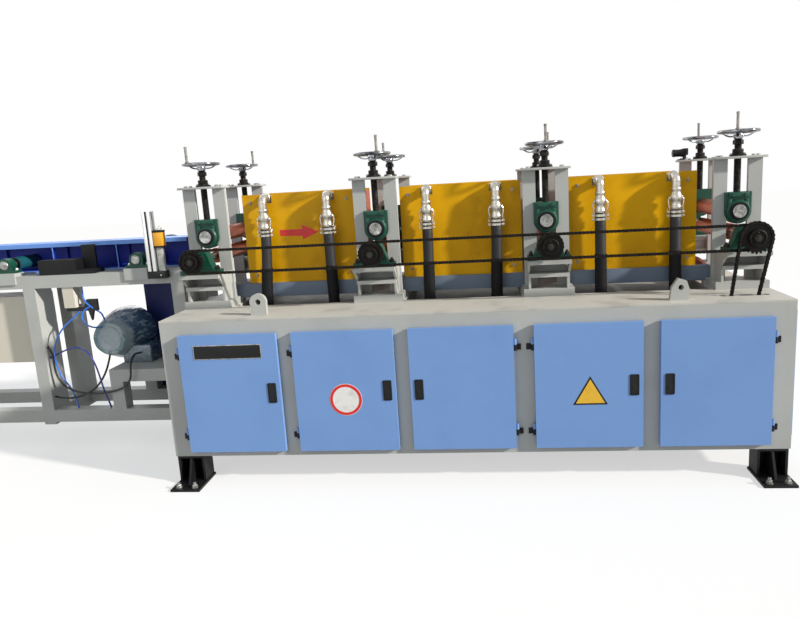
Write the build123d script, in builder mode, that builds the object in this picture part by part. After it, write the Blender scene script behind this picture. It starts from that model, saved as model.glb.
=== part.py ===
from build123d import *
import os
from math import cos, radians, sin

os.makedirs("parts", exist_ok=True)

# Induction heating line for steel bar: base cabinet with four roll stations and three
# inductor boxes, and a feed bench at its left end. All lengths in millimetres.

# Base cabinet
cabinet_length = 3090.0
cabinet_depth = 1250.0
cabinet_bottom = 150.0
deck_top = 880.0
deck_plate = 10.0
frame_tube = 60.0
tube_wall = 5.0
sheet = 6.0
cover_proud = 24.0
cover_margin = 42.0

# Doors
door_left_inset = 101.8
door_right_inset = 103.0
door_spacings = (78.2, 74.7, 97.3, 80.0)
door_hinge_sides = (-1, -1, 1, -1, 1)
door_bottom = 183.0
door_height = 623.0
door_proud = 30.0
door_gap = 5.0
door_sheet = 3.0
door_lap = 20.0
hinge_reach = 8.0
hinge_barrel_radius = 7.0
hinge_pin_radius = 3.5
hinge_length = 60.0
hinge_split = 0.5
hinge_inset = 66.0
pull_width = 38.0
pull_height = 98.0
pull_middle = 498.0
pull_inset = 42.0

# Anchor feet
foot_plate_width = 155.0
foot_plate_length = 212.0
foot_plate_thickness = 12.0
foot_column_width = 143.0
foot_column_length = 100.0
foot_lip = 107.0
foot_wall = 12.0
anchor_hole_radius = 9.0
anchor_hole_spacing = 86.0
anchor_hole_inset = 30.0

# Roll stations
first_station = 131.0
last_station_inset = 133.0
middle_station_shares = (0.33723, 0.65817)
pass_line_y = 727.5
lower_axis_z = 1155.0
roll_radius = 43.0
roll_gap = 27.0
roll_length = 475.0
shaft_radius = 25.0
running_clearance = 0.05
post_middle_y = 424.0
post_width = 68.0
post_thickness = 22.0
post_gap = 102.0
post_top = 1531.0
top_plate_width = 255.0
top_plate_length = 110.0
top_plate_thickness = 12.0
nut_radius = 32.0
nut_height = 37.0
base_width = 262.0
base_front_y = 306.0
base_height = 40.0
shelf_width = 220.0
shelf_front_y = 230.0
shelf_top = 1076.0
shelf_plate = 20.0
shelf_cheek = 12.0
bracket_width = 210.0
bracket_plate_z = 983.0

# Take-up housings and screws
guide_clearance = 1.0
housing_lip_width = 130.0
housing_lip_thickness = 14.0
housing_round_radius = 62.0
housing_top_rise = 97.0
housing_boss_radius = 48.0
housing_boss_length = 20.0
cap_radius = 36.0
cap_length = 6.0
screw_radius = 17.0
screw_pocket_depth = 40.0
screw_nut_clearance = 0.5
wheel_radius = 102.5
wheel_rim_radius = 10.0
wheel_rim_z = 1665.0
wheel_hub_z = 1643.0
wheel_hub_radius = 24.0
wheel_hub_height = 36.0
wheel_spoke_width = 22.0
handle_radius = 8.0
handle_height = 92.0
front_handle_angles = (-115.0, -65.0, -90.0, -112.0)
rear_handle_angles = (60.0, 120.0, 35.0, 80.0)

# Pillow blocks
pillow_base_length = 220.0
pillow_base_height = 24.0
pillow_depth = 62.0
pillow_middle_y = 285.0
pillow_head_radius = 56.0
pillow_boss_radius = 40.0
pillow_boss_proud = 8.0

# Chains: 19.05 mm pitch
chain_pitch_radius = 60.9
drive_pitch_radius = 72.98
drive_pinion_radius = 51.84
chain_half_height = 8.0
chain_width = 18.0
chain_inner_width = 13.0
tooth_width = 10.5
tooth_tip = 5.0
tooth_root = 7.0
tip_clearance = 0.15
station_teeth = 20
drive_teeth = 24
pinion_teeth = 17
sprocket_hub_radius = 42.0
chain_row_a = 170.0
chain_row_b = 195.0
drive_row = 145.0
pinion_drop = 560.0
pinion_offset = -95.0
slot_offset = -48.5
slot_length = 231.0
slot_width = 34.0

# Hose troughs in the deck
trough_margin = 140.0
trough_front_y = 350.0
trough_rear_y = 1100.0
trough_floor = 810.0
tray_sheet = 5.0

# Inductor boxes
box_left_gaps = (187.0, 126.0, 126.0)
box_right_gaps = (126.0, 126.0, 179.0)
box_front_y = 487.0
box_bottom = 985.0
box_top = 1483.0
panel_thickness = 12.0
end_board_thickness = 20.0
coil_top_drop = 13.0
coil_bore_radius = 45.0
board_bore_radius = 55.0
notch_width = 64.0
notch_depth = 50.0
rail_height = 78.0
rail_flange = 17.0
rail_sheet = 6.0
rail_end = 108.0

# Hoses
hose_insets = (137.0, 147.0, 148.0, 135.0, 157.0, 121.0)
hose_foot_shifts = (-26.0, 2.0, -6.0, -10.0, 1.0, 2.0)
hose_y = 430.0
hose_radius = 27.0
sleeve_radius = 31.0
elbow_drop = 21.0
elbow_radius = 19.0
elbow_leg = 61.0
coupling_radius = 27.0
coupling_length = 109.0
clamp_radius = 34.0
clamp_length = 41.0
sleeve_top = 1072.0
spigot_height = 22.0

# Feed bench
bench_reach = 2030.0
bench_right = 92.0
bench_front_y = 500.0
bench_width = 454.0
bench_tube = 76.0
bench_wall = 5.0
leg_depth = 150.0
bench_top = 1080.0
bench_low_beam = 165.0
bench_bay = 931.0
roller_x = (-370.0, -1200.0)
roller_axis_z = 1147.0
roller_radius = 40.0
roller_shaft_radius = 22.0
roller_front_y = 600.0
roller_rear_y = 785.0
roller_block_length = 142.0
roller_block_depth = 50.0
roller_block_head = 42.0
riser_top = 1100.0
riser_apron = 10.0
riser_apron_drop = 68.0
disc_radius = 108.0
disc_thickness = 16.0
disc_middle_y = 972.0
trough_top = 1258.0
trough_bottom = 1088.0
trough_lip_y = 640.0
trough_web_y = 800.0
trough_sheet = 5.0
trough_end_inset = 30.0
trough_right = -110.0
trough_ribs = 4
platform_top = 490.0
platform_length = 462.0
platform_leg = 80.0
motor_offset = -12.0
motor_axis_z = 656.0
back_sheet = 4.0

# Derived positions. The work planes start at the cabinet's left front corner on the floor.
left = (bench_reach - cabinet_length - cover_proud) / 2
front = -cabinet_depth / 2
corner = (left, front, 0)
plan = Plane(origin=corner, x_dir=(1, 0, 0), z_dir=(0, 0, 1))
elevation = Plane(origin=corner, x_dir=(1, 0, 0), z_dir=(0, -1, 0))
section = Plane(origin=corner, x_dir=(0, 1, 0), z_dir=(1, 0, 0))
middle = elevation.offset(-pass_line_y)
door_width = (cabinet_length - door_left_inset - door_right_inset - sum(door_spacings)) / 5
door_lefts = [door_left_inset]
for spacing in door_spacings:
    door_lefts.append(door_lefts[-1] + door_width + spacing)
station_run = cabinet_length - first_station - last_station_inset
station_x = (
    first_station,
    first_station + middle_station_shares[0] * station_run,
    first_station + middle_station_shares[1] * station_run,
    first_station + station_run,
)
deck_under = deck_top - deck_plate
opening_bottom = door_bottom + door_lap
hinge_y = -(door_proud + door_gap) / 2 - 2.5
hinge_bottoms = (door_bottom + hinge_inset, door_bottom + door_height - hinge_inset - hinge_length)
opening_top = door_bottom + door_height - door_lap
upper_axis_z = lower_axis_z + 2 * roll_radius + roll_gap
roll_front_y = pass_line_y - roll_length / 2
roll_rear_y = pass_line_y + roll_length / 2
post_front_y = post_middle_y - post_thickness / 2
post_rear_y = post_middle_y + post_thickness / 2
lip_front_y = post_front_y - guide_clearance - housing_lip_thickness
lip_rear_y = post_rear_y + guide_clearance + housing_lip_thickness
boss_front_y = lip_front_y - housing_boss_length
housing_top = upper_axis_z + housing_top_rise
core_width = post_gap - 2 * guide_clearance
pillow_front_y = pillow_middle_y - pillow_depth / 2 - pillow_boss_proud
trough_spans = [
    (station_x[0] + trough_margin, station_x[1] - trough_margin),
    (station_x[1] + trough_margin, station_x[2] - trough_margin),
    (station_x[2] + trough_margin, station_x[3] - trough_margin),
]
rail_spans = [
    (station_x[0] + rail_end, station_x[1] - rail_end),
    (station_x[1] + rail_end, station_x[2] - rail_end),
    (station_x[2] + rail_end, station_x[3] - rail_end),
]
box_spans = [
    (station_x[0] + box_left_gaps[0], station_x[1] - box_right_gaps[0]),
    (station_x[1] + box_left_gaps[1], station_x[2] - box_right_gaps[1]),
    (station_x[2] + box_left_gaps[2], station_x[3] - box_right_gaps[2]),
]
hose_tops = []
for (start, end), left_inset, right_inset in zip(box_spans, hose_insets[0::2], hose_insets[1::2]):
    hose_tops.append(start + left_inset)
    hose_tops.append(end - right_inset)
hose_feet = [top + shift for top, shift in zip(hose_tops, hose_foot_shifts)]
elbow_axis_z = box_top - elbow_drop
coupling_top = elbow_axis_z - elbow_leg
clamp_top = coupling_top - coupling_length
clamp_bottom = clamp_top - clamp_length
box_rear_y = 2 * pass_line_y - box_front_y
coil_front_y = box_front_y + panel_thickness
coil_rear_y = box_rear_y - panel_thickness
coil_top = box_top - coil_top_drop
rail_bottom = box_bottom - rail_height
coil_middle_z = (box_bottom + coil_top) / 2
slot_middle_x = station_x[3] + slot_offset
pinion_x = station_x[3] + pinion_offset
pinion_z = lower_axis_z - pinion_drop
bench_rear_y = bench_front_y + bench_width
bench_middle_y = bench_front_y + bench_width / 2
leg_x = (
    -bench_right - bench_tube / 2,
    -bench_right - bench_tube / 2 - bench_bay,
    -bench_reach + bench_tube / 2,
)
trough_left = -bench_reach + trough_end_inset
platform_right = leg_x[0] - bench_tube / 2
platform_left = platform_right - platform_length

# Deck plate, cut away between the stations for hose trays and in front of station 4 for the drive chain
with BuildPart() as deck:
    with BuildSketch(plan.offset(deck_under)):
        with Locations((cabinet_length / 2, cabinet_depth / 2)):
            Rectangle(cabinet_length, cabinet_depth)
        with Locations((slot_middle_x, drive_row)):
            SlotOverall(slot_length, slot_width, mode=Mode.SUBTRACT)
    extrude(amount=deck_plate)
    with BuildSketch(plan.offset(trough_floor)):
        for start, end in trough_spans:
            with Locations(((start + end) / 2, (trough_front_y + trough_rear_y) / 2)):
                Rectangle(end - start + 2 * tray_sheet, trough_rear_y - trough_front_y + 2 * tray_sheet)
    extrude(amount=deck_under - trough_floor)
    with BuildSketch(plan.offset(trough_floor + tray_sheet)):
        for start, end in trough_spans:
            with Locations(((start + end) / 2, (trough_front_y + trough_rear_y) / 2)):
                Rectangle(end - start, trough_rear_y - trough_front_y)
    extrude(amount=deck_top - trough_floor - tray_sheet, mode=Mode.SUBTRACT)
deck.part.label = "deck"
export_step(deck.part, "parts/deck.step")

# Posts between the doors: rectangular tubes standing between the two front rails
post_edges = [0.0]
for door_left in door_lefts:
    post_edges.append(door_left + door_lap)
    post_edges.append(door_left + door_width - door_lap)
post_edges.append(cabinet_length)
with BuildPart() as front_posts:
    with BuildSketch(plan.offset(opening_bottom)):
        for start, end in zip(post_edges[0::2], post_edges[1::2]):
            with Locations(((start + end) / 2, frame_tube / 2)):
                Rectangle(end - start, frame_tube)
                Rectangle(end - start - 2 * tube_wall, frame_tube - 2 * tube_wall, mode=Mode.SUBTRACT)
    extrude(amount=opening_top - opening_bottom)
front_posts.part.label = "front_posts"
export_step(front_posts.part, "parts/front_posts.step")

# Front rails over and under the doors, full length
with BuildPart() as front_rails:
    with BuildSketch(section):
        for low, high in ((cabinet_bottom, opening_bottom), (opening_top, deck_under)):
            with Locations((frame_tube / 2, (low + high) / 2)):
                Rectangle(frame_tube, high - low)
                Rectangle(frame_tube - 2 * tube_wall, high - low - 2 * tube_wall, mode=Mode.SUBTRACT)
    extrude(amount=cabinet_length)
front_rails.part.label = "front_rails"
export_step(front_rails.part, "parts/front_rails.step")

# Back, end panels and floor plate of the cabinet, with a folded flange under the deck's rear edge
with BuildPart() as cabinet_shell:
    with BuildSketch(section):
        with Locations(((frame_tube + cabinet_depth) / 2, (cabinet_bottom + deck_under) / 2)):
            Rectangle(cabinet_depth - frame_tube, deck_under - cabinet_bottom)
    extrude(amount=cabinet_length)
    with BuildSketch(section.offset(sheet)):
        with Locations(((frame_tube + cabinet_depth - sheet) / 2, (cabinet_bottom + sheet + deck_under) / 2)):
            Rectangle(cabinet_depth - sheet - frame_tube, deck_under - cabinet_bottom - sheet)
        with Locations((cabinet_depth - sheet - frame_tube / 2, deck_under - sheet / 2)):
            Rectangle(frame_tube, sheet, mode=Mode.SUBTRACT)
    extrude(amount=cabinet_length - 2 * sheet, mode=Mode.SUBTRACT)
cabinet_shell.part.label = "cabinet_shell"
export_step(cabinet_shell.part, "parts/cabinet_shell.step")

# Shallow cover on the right end, edges drawn in towards its face
with BuildPart() as end_cover:
    with BuildSketch(section.offset(cabinet_length)):
        with Locations((cabinet_depth / 2, (cabinet_bottom + deck_under) / 2)):
            Rectangle(cabinet_depth - 2 * cover_margin, deck_under - cabinet_bottom - 2 * cover_margin)
    extrude(amount=cover_proud, taper=18)
end_cover.part.label = "end_cover"
export_step(end_cover.part, "parts/end_cover.step")

# Anchor feet: floor plate with two anchor holes, channel column and a rib over the plate's lip
foot_places = []
for foot_x in (foot_plate_width / 2 + 3.0, cabinet_length - foot_plate_width / 2 - 3.0):
    foot_places.append((foot_x, 0.0, 1))
    foot_places.append((foot_x, cabinet_depth, -1))
for foot_x in (leg_x[0], leg_x[2] + (foot_plate_width - bench_tube) / 2):
    foot_places.append((foot_x, bench_front_y, 1))
    foot_places.append((foot_x, bench_rear_y, -1))
with BuildPart() as anchor_feet:
    for foot_x, face_y, inward in foot_places:
        with BuildSketch(plan):
            with Locations((foot_x, face_y + inward * (foot_plate_length / 2 - foot_lip))):
                Rectangle(foot_plate_width, foot_plate_length)
            hole_y = face_y - inward * (foot_lip - anchor_hole_inset)
            with Locations((foot_x, hole_y)):
                with GridLocations(anchor_hole_spacing, 1, 2, 1):
                    Circle(anchor_hole_radius, mode=Mode.SUBTRACT)
        extrude(amount=foot_plate_thickness)
        with BuildSketch(plan.offset(foot_plate_thickness)):
            with Locations((foot_x, face_y + inward * foot_column_length / 2)):
                Rectangle(foot_column_width, foot_column_length)
            with Locations((foot_x, face_y + inward * (foot_column_length - foot_wall) / 2)):
                Rectangle(
                    foot_column_width - 2 * foot_wall,
                    foot_column_length - foot_wall,
                    mode=Mode.SUBTRACT,
                )
        extrude(amount=cabinet_bottom - foot_plate_thickness)
        with BuildSketch(plan.offset(cabinet_bottom - foot_wall)):
            with Locations((foot_x, face_y + inward * foot_column_length / 2)):
                Rectangle(foot_column_width, foot_column_length)
        extrude(amount=foot_wall)
        with BuildSketch(section.offset(foot_x - foot_wall / 2)):
            with BuildLine():
                Polyline(
                    (face_y + inward * foot_column_length, foot_plate_thickness),
                    (face_y + inward * foot_column_length, cabinet_bottom - foot_wall),
                    (face_y + inward * 4.0, cabinet_bottom - foot_wall),
                    (face_y - inward * (foot_lip - 2 * anchor_hole_inset), foot_plate_thickness),
                    close=True,
                )
            make_face()
        extrude(amount=foot_wall)
anchor_feet.part.label = "anchor_feet"
export_step(anchor_feet.part, "parts/anchor_feet.step")

# Doors: folded pans with a recess for the pull, hinged at one edge
for number, (door_left, hinge_side) in enumerate(zip(door_lefts, door_hinge_sides), start=1):
    door_middle_x = door_left + door_width / 2
    door_middle_z = door_bottom + door_height / 2
    pull_x = door_middle_x - hinge_side * (door_width / 2 - pull_inset)
    with BuildPart() as door:
        with BuildSketch(elevation.offset(door_gap)):
            with Locations((door_middle_x, door_middle_z)):
                Rectangle(door_width, door_height)
        extrude(amount=door_proud - door_gap)
        with BuildSketch(elevation.offset(door_gap)):
            with Locations((door_middle_x, door_middle_z)):
                Rectangle(door_width - 2 * door_sheet, door_height - 2 * door_sheet)
            with Locations((pull_x, pull_middle)):
                Rectangle(pull_width + 2 * door_sheet, pull_height + 2 * door_sheet, mode=Mode.SUBTRACT)
        extrude(amount=door_proud - door_gap - door_sheet, mode=Mode.SUBTRACT)
        with BuildSketch(elevation.offset(door_gap + door_sheet)):
            with Locations((pull_x, pull_middle)):
                Rectangle(pull_width, pull_height)
        extrude(amount=door_proud - door_gap, mode=Mode.SUBTRACT)
        hinge_x = door_middle_x + hinge_side * (door_width / 2 + hinge_reach)
        for hinge_z in hinge_bottoms:
            with BuildSketch(plan.offset(hinge_z + hinge_length / 2 + hinge_split)):
                with Locations((hinge_x, hinge_y)):
                    Circle(hinge_barrel_radius)
                with Locations((hinge_x - hinge_side * hinge_reach / 2, hinge_y)):
                    Rectangle(hinge_reach, hinge_barrel_radius)
                with Locations((hinge_x, hinge_y)):
                    Circle(hinge_pin_radius + running_clearance, mode=Mode.SUBTRACT)
            extrude(amount=hinge_length / 2 - hinge_split)
    door.part.label = f"door_{number}"
    export_step(door.part, f"parts/door_{number}.step")

# Fixed hinge halves beside the doors: lower barrel on a leaf, with the pin that holds the door's knuckle
with BuildPart() as door_hinges:
    for door_left, hinge_side in zip(door_lefts, door_hinge_sides):
        hinge_x = door_left + door_width / 2 + hinge_side * (door_width / 2 + hinge_reach)
        for hinge_z in hinge_bottoms:
            with BuildSketch(plan.offset(hinge_z)):
                with Locations((hinge_x, hinge_y)):
                    Circle(hinge_barrel_radius)
                with Locations((hinge_x + hinge_side * hinge_barrel_radius / 2, hinge_y / 2)):
                    Rectangle(hinge_barrel_radius, -hinge_y)
                with Locations((hinge_x + hinge_side * 14.0, -2.0)):
                    Rectangle(28.0, 4.0)
            extrude(amount=hinge_length / 2)
            with BuildSketch(plan.offset(hinge_z + hinge_length / 2)):
                with Locations((hinge_x, hinge_y)):
                    Circle(hinge_pin_radius)
            extrude(amount=hinge_length / 2)
door_hinges.part.label = "door_hinges"
export_step(door_hinges.part, "parts/door_hinges.step")

# Two lifting lugs welded to the front strip of the deck, of different shapes
lug_x = (504.0, cabinet_length - 498.0)
with BuildPart() as lifting_lugs:
    with BuildSketch(elevation.offset(-96.0)):
        with BuildLine():
            Polyline(
                (lug_x[0] - 42.0, deck_top),
                (lug_x[0] - 42.0, deck_top + 20.0),
                (lug_x[0] - 26.0, deck_top + 58.0),
                (lug_x[0] + 42.0, deck_top + 58.0),
                (lug_x[0] + 42.0, deck_top),
                close=True,
            )
        make_face()
        with Locations((lug_x[0], deck_top + 68.0)):
            Circle(43.0)
            Circle(15.0, mode=Mode.SUBTRACT)
    extrude(amount=24.0)
    with BuildSketch(elevation.offset(-100.0)):
        with BuildLine():
            Polyline(
                (lug_x[1] - 52.0, deck_top),
                (lug_x[1] - 44.0, deck_top + 62.0),
                (lug_x[1] - 14.0, deck_top + 106.0),
                (lug_x[1] + 26.0, deck_top + 92.0),
                (lug_x[1] + 41.0, deck_top + 48.0),
                (lug_x[1] + 37.0, deck_top),
                close=True,
            )
        make_face()
        with Locations((lug_x[1], deck_top + 62.0)):
            Circle(13.0, mode=Mode.SUBTRACT)
    extrude(amount=26.0)
lifting_lugs.part.label = "lifting_lugs"
export_step(lifting_lugs.part, "parts/lifting_lugs.step")

# Welded stands of the stations: base, bracket plates, shelf with cheeks and a gusset at each side,
# and on the deck beside them the pads under the ends of the rails
base_length = post_rear_y + 35.0 - base_front_y
bracket_top = bracket_plate_z + shelf_plate
with BuildPart() as stand_frames:
    for x in station_x:
        with BuildSketch(plan.offset(deck_top)):
            with Locations((x, base_front_y + base_length / 2)):
                Rectangle(base_width, base_length)
        extrude(amount=base_height)
        with BuildSketch(plan.offset(deck_top + base_height)):
            for side in (-1, 1):
                with Locations((x + side * (bracket_width - shelf_cheek) / 2, (base_front_y + post_front_y) / 2)):
                    Rectangle(shelf_cheek, post_front_y - base_front_y)
        extrude(amount=bracket_plate_z - deck_top - base_height)
        with BuildSketch(plan.offset(bracket_plate_z)):
            with Locations((x, (base_front_y - 20.0 + post_front_y) / 2)):
                Rectangle(bracket_width, post_front_y - base_front_y + 20.0)
        extrude(amount=shelf_plate)
        with BuildSketch(plan.offset(bracket_top)):
            for side in (-1, 1):
                with Locations((x + side * (shelf_width - shelf_cheek) / 2, (base_front_y + post_front_y) / 2)):
                    Rectangle(shelf_cheek, post_front_y - base_front_y)
            with Locations((x, (base_front_y + post_front_y) / 2 + 30.0)):
                Rectangle(shelf_width, shelf_cheek)
        extrude(amount=shelf_top - shelf_plate - bracket_top)
        with BuildSketch(plan.offset(shelf_top - shelf_plate)):
            with Locations((x, (shelf_front_y + post_front_y) / 2)):
                Rectangle(shelf_width, post_front_y - shelf_front_y)
        extrude(amount=shelf_plate)
        for side in (-1, 1):
            with BuildSketch(section.offset(x + side * (shelf_width - shelf_cheek) / 2 - shelf_cheek / 2)):
                with BuildLine():
                    Polyline(
                        (base_front_y, shelf_top - shelf_plate),
                        (shelf_front_y + 12.0, shelf_top - shelf_plate),
                        (base_front_y, bracket_top),
                        close=True,
                    )
                make_face()
            extrude(amount=shelf_cheek)
    with BuildSketch(plan.offset(deck_top)):
        for start, end in rail_spans:
            for pad_x in (start + 14.0, end - 14.0):
                with Locations((pad_x, box_front_y + 8.0)):
                    Rectangle(28.0, 44.0)
    extrude(amount=rail_bottom - deck_top)
    mirror(about=middle)
stand_frames.part.label = "stand_frames"
export_step(stand_frames.part, "parts/stand_frames.step")

# Sixteen flat posts, two in each stand; the housings slide between them
with BuildPart() as stand_posts:
    with BuildSketch(plan.offset(deck_top + base_height)):
        for x in station_x:
            with Locations((x, post_middle_y)):
                with GridLocations(post_gap + post_width, 1, 2, 1):
                    Rectangle(post_width, post_thickness)
    extrude(amount=post_top - deck_top - base_height)
    mirror(about=middle)
stand_posts.part.label = "stand_posts"
export_step(stand_posts.part, "parts/stand_posts.step")

# Top plates with the round nut that takes the screw
with BuildPart() as stand_top_plates:
    with BuildSketch(plan.offset(post_top)):
        for x in station_x:
            with Locations((x, post_middle_y)):
                Rectangle(top_plate_width, top_plate_length)
    extrude(amount=top_plate_thickness)
    with BuildSketch(plan.offset(post_top + top_plate_thickness)):
        for x in station_x:
            with Locations((x, post_middle_y)):
                Circle(nut_radius)
    extrude(amount=nut_height)
    with BuildSketch(plan.offset(post_top)):
        for x in station_x:
            with Locations((x, post_middle_y)):
                Circle(screw_radius + screw_nut_clearance)
    extrude(amount=top_plate_thickness + nut_height, mode=Mode.SUBTRACT)
    mirror(about=middle)
stand_top_plates.part.label = "stand_top_plates"
export_step(stand_top_plates.part, "parts/stand_top_plates.step")

# Pillow blocks of the lower rolls, one on each shelf
with BuildPart() as pillow_blocks:
    for x in station_x:
        with BuildSketch(elevation.offset(-pillow_middle_y - pillow_depth / 2)):
            with Locations((x, shelf_top + pillow_base_height / 2)):
                Rectangle(pillow_base_length, pillow_base_height)
            with BuildLine():
                Polyline(
                    (x - pillow_head_radius - 22.0, shelf_top + pillow_base_height),
                    (x - pillow_head_radius * 0.86, lower_axis_z + pillow_head_radius * 0.5),
                    (x + pillow_head_radius * 0.86, lower_axis_z + pillow_head_radius * 0.5),
                    (x + pillow_head_radius + 22.0, shelf_top + pillow_base_height),
                    close=True,
                )
            make_face()
            with Locations((x, lower_axis_z)):
                Circle(pillow_head_radius)
        extrude(amount=pillow_depth)
        with BuildSketch(elevation.offset(-pillow_middle_y - pillow_depth / 2 - pillow_boss_proud)):
            with Locations((x, lower_axis_z)):
                Circle(pillow_boss_radius)
        extrude(amount=pillow_depth + 2 * pillow_boss_proud)
        with BuildSketch(elevation.offset(-pillow_middle_y - pillow_depth)):
            with Locations((x, lower_axis_z)):
                Circle(shaft_radius + running_clearance)
        extrude(amount=2 * pillow_depth, mode=Mode.SUBTRACT)
    mirror(about=middle)
pillow_blocks.part.label = "pillow_blocks"
export_step(pillow_blocks.part, "parts/pillow_blocks.step")

# Take-up housings: core between the posts, a lip on either side of them, boss with a closed cap
for number, x in enumerate(station_x, start=1):
    with BuildPart() as carriage:
        with BuildSketch(elevation.offset(-lip_rear_y)):
            with Locations((x, (upper_axis_z + housing_top) / 2)):
                Rectangle(housing_lip_width, housing_top - upper_axis_z)
            with Locations((x, upper_axis_z)):
                Circle(housing_lip_width / 2)
        extrude(amount=lip_rear_y - lip_front_y)
        with BuildSketch(elevation.offset(-post_rear_y - guide_clearance)):
            for side in (-1, 1):
                with Locations((x + side * (core_width + housing_lip_width) / 2, upper_axis_z)):
                    Rectangle(housing_lip_width, 4 * housing_top_rise)
        extrude(amount=post_thickness + 2 * guide_clearance, mode=Mode.SUBTRACT)
        with BuildSketch(elevation.offset(-lip_front_y)):
            with Locations((x, upper_axis_z)):
                Circle(housing_boss_radius)
        extrude(amount=housing_boss_length)
        with BuildSketch(elevation.offset(-boss_front_y)):
            with Locations((x, upper_axis_z)):
                Circle(cap_radius)
        extrude(amount=cap_length)
        with BuildSketch(elevation.offset(-lip_rear_y)):
            with Locations((x, upper_axis_z)):
                Circle(shaft_radius + running_clearance)
        extrude(amount=lip_rear_y - boss_front_y, mode=Mode.SUBTRACT)
        with BuildSketch(plan.offset(housing_top - screw_pocket_depth)):
            with Locations((x, post_middle_y)):
                Circle(screw_radius + running_clearance)
        extrude(amount=screw_pocket_depth, mode=Mode.SUBTRACT)
        mirror(about=middle)
    carriage.part.label = f"carriage_{number}"
    export_step(carriage.part, f"parts/carriage_{number}.step")

# Upper rolls: copper body with steel shoulders on a shaft that ends inside the two housings
for number, x in enumerate(station_x, start=1):
    with BuildPart() as upper_roll:
        with BuildSketch(elevation.offset(-roll_rear_y)):
            with Locations((x, upper_axis_z)):
                Circle(roll_radius)
        extrude(amount=roll_length)
        with BuildSketch(elevation.offset(-2 * pass_line_y + boss_front_y + 3.0)):
            with Locations((x, upper_axis_z)):
                Circle(shaft_radius)
        extrude(amount=2 * (pass_line_y - boss_front_y - 3.0))
    upper_roll.part.label = f"upper_roll_{number}"
    export_step(upper_roll.part, f"parts/upper_roll_{number}.step")

# Screws with a collar-free lower end in the housing, and a dished handwheel with a handle rod
screw_bottom = housing_top - screw_pocket_depth + guide_clearance
hub_top = wheel_hub_z + wheel_hub_height / 2
rim_middle = wheel_radius - wheel_rim_radius
for side_name, row_y, handle_angles in (
    ("front", post_middle_y, front_handle_angles),
    ("rear", 2 * pass_line_y - post_middle_y, rear_handle_angles),
):
    for number, (x, angle) in enumerate(zip(station_x, handle_angles), start=1):
        axis_plane = Plane(origin=(left + x, front + row_y, 0), x_dir=(1, 0, 0), z_dir=(0, -1, 0))
        axis_line = Axis((left + x, front + row_y, 0), (0, 0, 1))
        handle_x = x + rim_middle * cos(radians(angle))
        handle_y = row_y + rim_middle * sin(radians(angle))
        with BuildPart() as screw:
            with BuildSketch(plan.offset(screw_bottom)):
                with Locations((x, row_y)):
                    Circle(screw_radius)
            extrude(amount=hub_top - screw_bottom)
            with BuildSketch(plan.offset(wheel_hub_z - wheel_hub_height / 2)):
                with Locations((x, row_y)):
                    Circle(wheel_hub_radius)
            extrude(amount=wheel_hub_height)
            with BuildSketch(axis_plane):
                with Locations((rim_middle, wheel_rim_z)):
                    RegularPolygon(wheel_rim_radius, 6)
            revolve(axis=axis_line)
            for spoke in (0, 120, 240):
                spoke_plane = Plane(
                    origin=(left + x, front + row_y, wheel_hub_z),
                    x_dir=(cos(radians(angle + spoke)), sin(radians(angle + spoke)), 0),
                    z_dir=(sin(radians(angle + spoke)), -cos(radians(angle + spoke)), 0),
                )
                with BuildSketch(spoke_plane.offset(-wheel_spoke_width / 2)):
                    with BuildLine():
                        Polyline(
                            (screw_radius - 2.0, -8.0),
                            (wheel_radius * 0.45, -10.0),
                            (rim_middle, wheel_rim_z - wheel_hub_z - 6.0),
                            (rim_middle, wheel_rim_z - wheel_hub_z + 6.0),
                            (wheel_radius * 0.45, 4.0),
                            (screw_radius - 2.0, 8.0),
                            close=True,
                        )
                    make_face()
                extrude(amount=wheel_spoke_width)
            with BuildSketch(plan.offset(wheel_rim_z)):
                with Locations((handle_x, handle_y)):
                    Circle(handle_radius)
            extrude(amount=handle_height)
        screw.part.label = f"{side_name}_screw_{number}"
        export_step(screw.part, f"parts/{side_name}_screw_{number}.step")

# Lower rolls: copper body, through shaft, and at the front end the sprockets of each station's chains
sprocket_rows = (
    ((chain_row_a, chain_pitch_radius, station_teeth),),
    ((chain_row_a, chain_pitch_radius, station_teeth), (chain_row_b, chain_pitch_radius, station_teeth)),
    ((chain_row_a, chain_pitch_radius, station_teeth), (chain_row_b, chain_pitch_radius, station_teeth)),
    ((drive_row, drive_pitch_radius, drive_teeth), (chain_row_a, chain_pitch_radius, station_teeth)),
)
shaft_rear_y = 2 * pass_line_y - pillow_front_y + 12.0
for number, (x, rows) in enumerate(zip(station_x, sprocket_rows), start=1):
    hub_front_y = min(row[0] for row in rows) - 14.0
    with BuildPart() as lower_roll:
        with BuildSketch(elevation.offset(-roll_rear_y)):
            with Locations((x, lower_axis_z)):
                Circle(roll_radius)
        extrude(amount=roll_length)
        with BuildSketch(elevation.offset(-shaft_rear_y)):
            with Locations((x, lower_axis_z)):
                Circle(shaft_radius)
        extrude(amount=shaft_rear_y - hub_front_y + 6.0)
        with BuildSketch(elevation.offset(-chain_row_b - 14.0)):
            with Locations((x, lower_axis_z)):
                Circle(sprocket_hub_radius)
        extrude(amount=chain_row_b + 14.0 - hub_front_y)
        for row_y, pitch_radius, teeth in rows:
            with BuildSketch(elevation.offset(-row_y - tooth_width / 2)):
                with Locations((x, lower_axis_z)):
                    Circle(pitch_radius - tooth_root)
                    with PolarLocations(pitch_radius - tooth_root - 1.0, teeth):
                        Trapezoid(
                            2.2 * tooth_root,
                            tooth_root + tooth_tip + 1.0,
                            68,
                            rotation=-90,
                            align=(Align.CENTER, Align.MIN),
                        )
            extrude(amount=tooth_width)
    lower_roll.part.label = f"lower_roll_{number}"
    export_step(lower_roll.part, f"parts/lower_roll_{number}.step")

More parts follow.
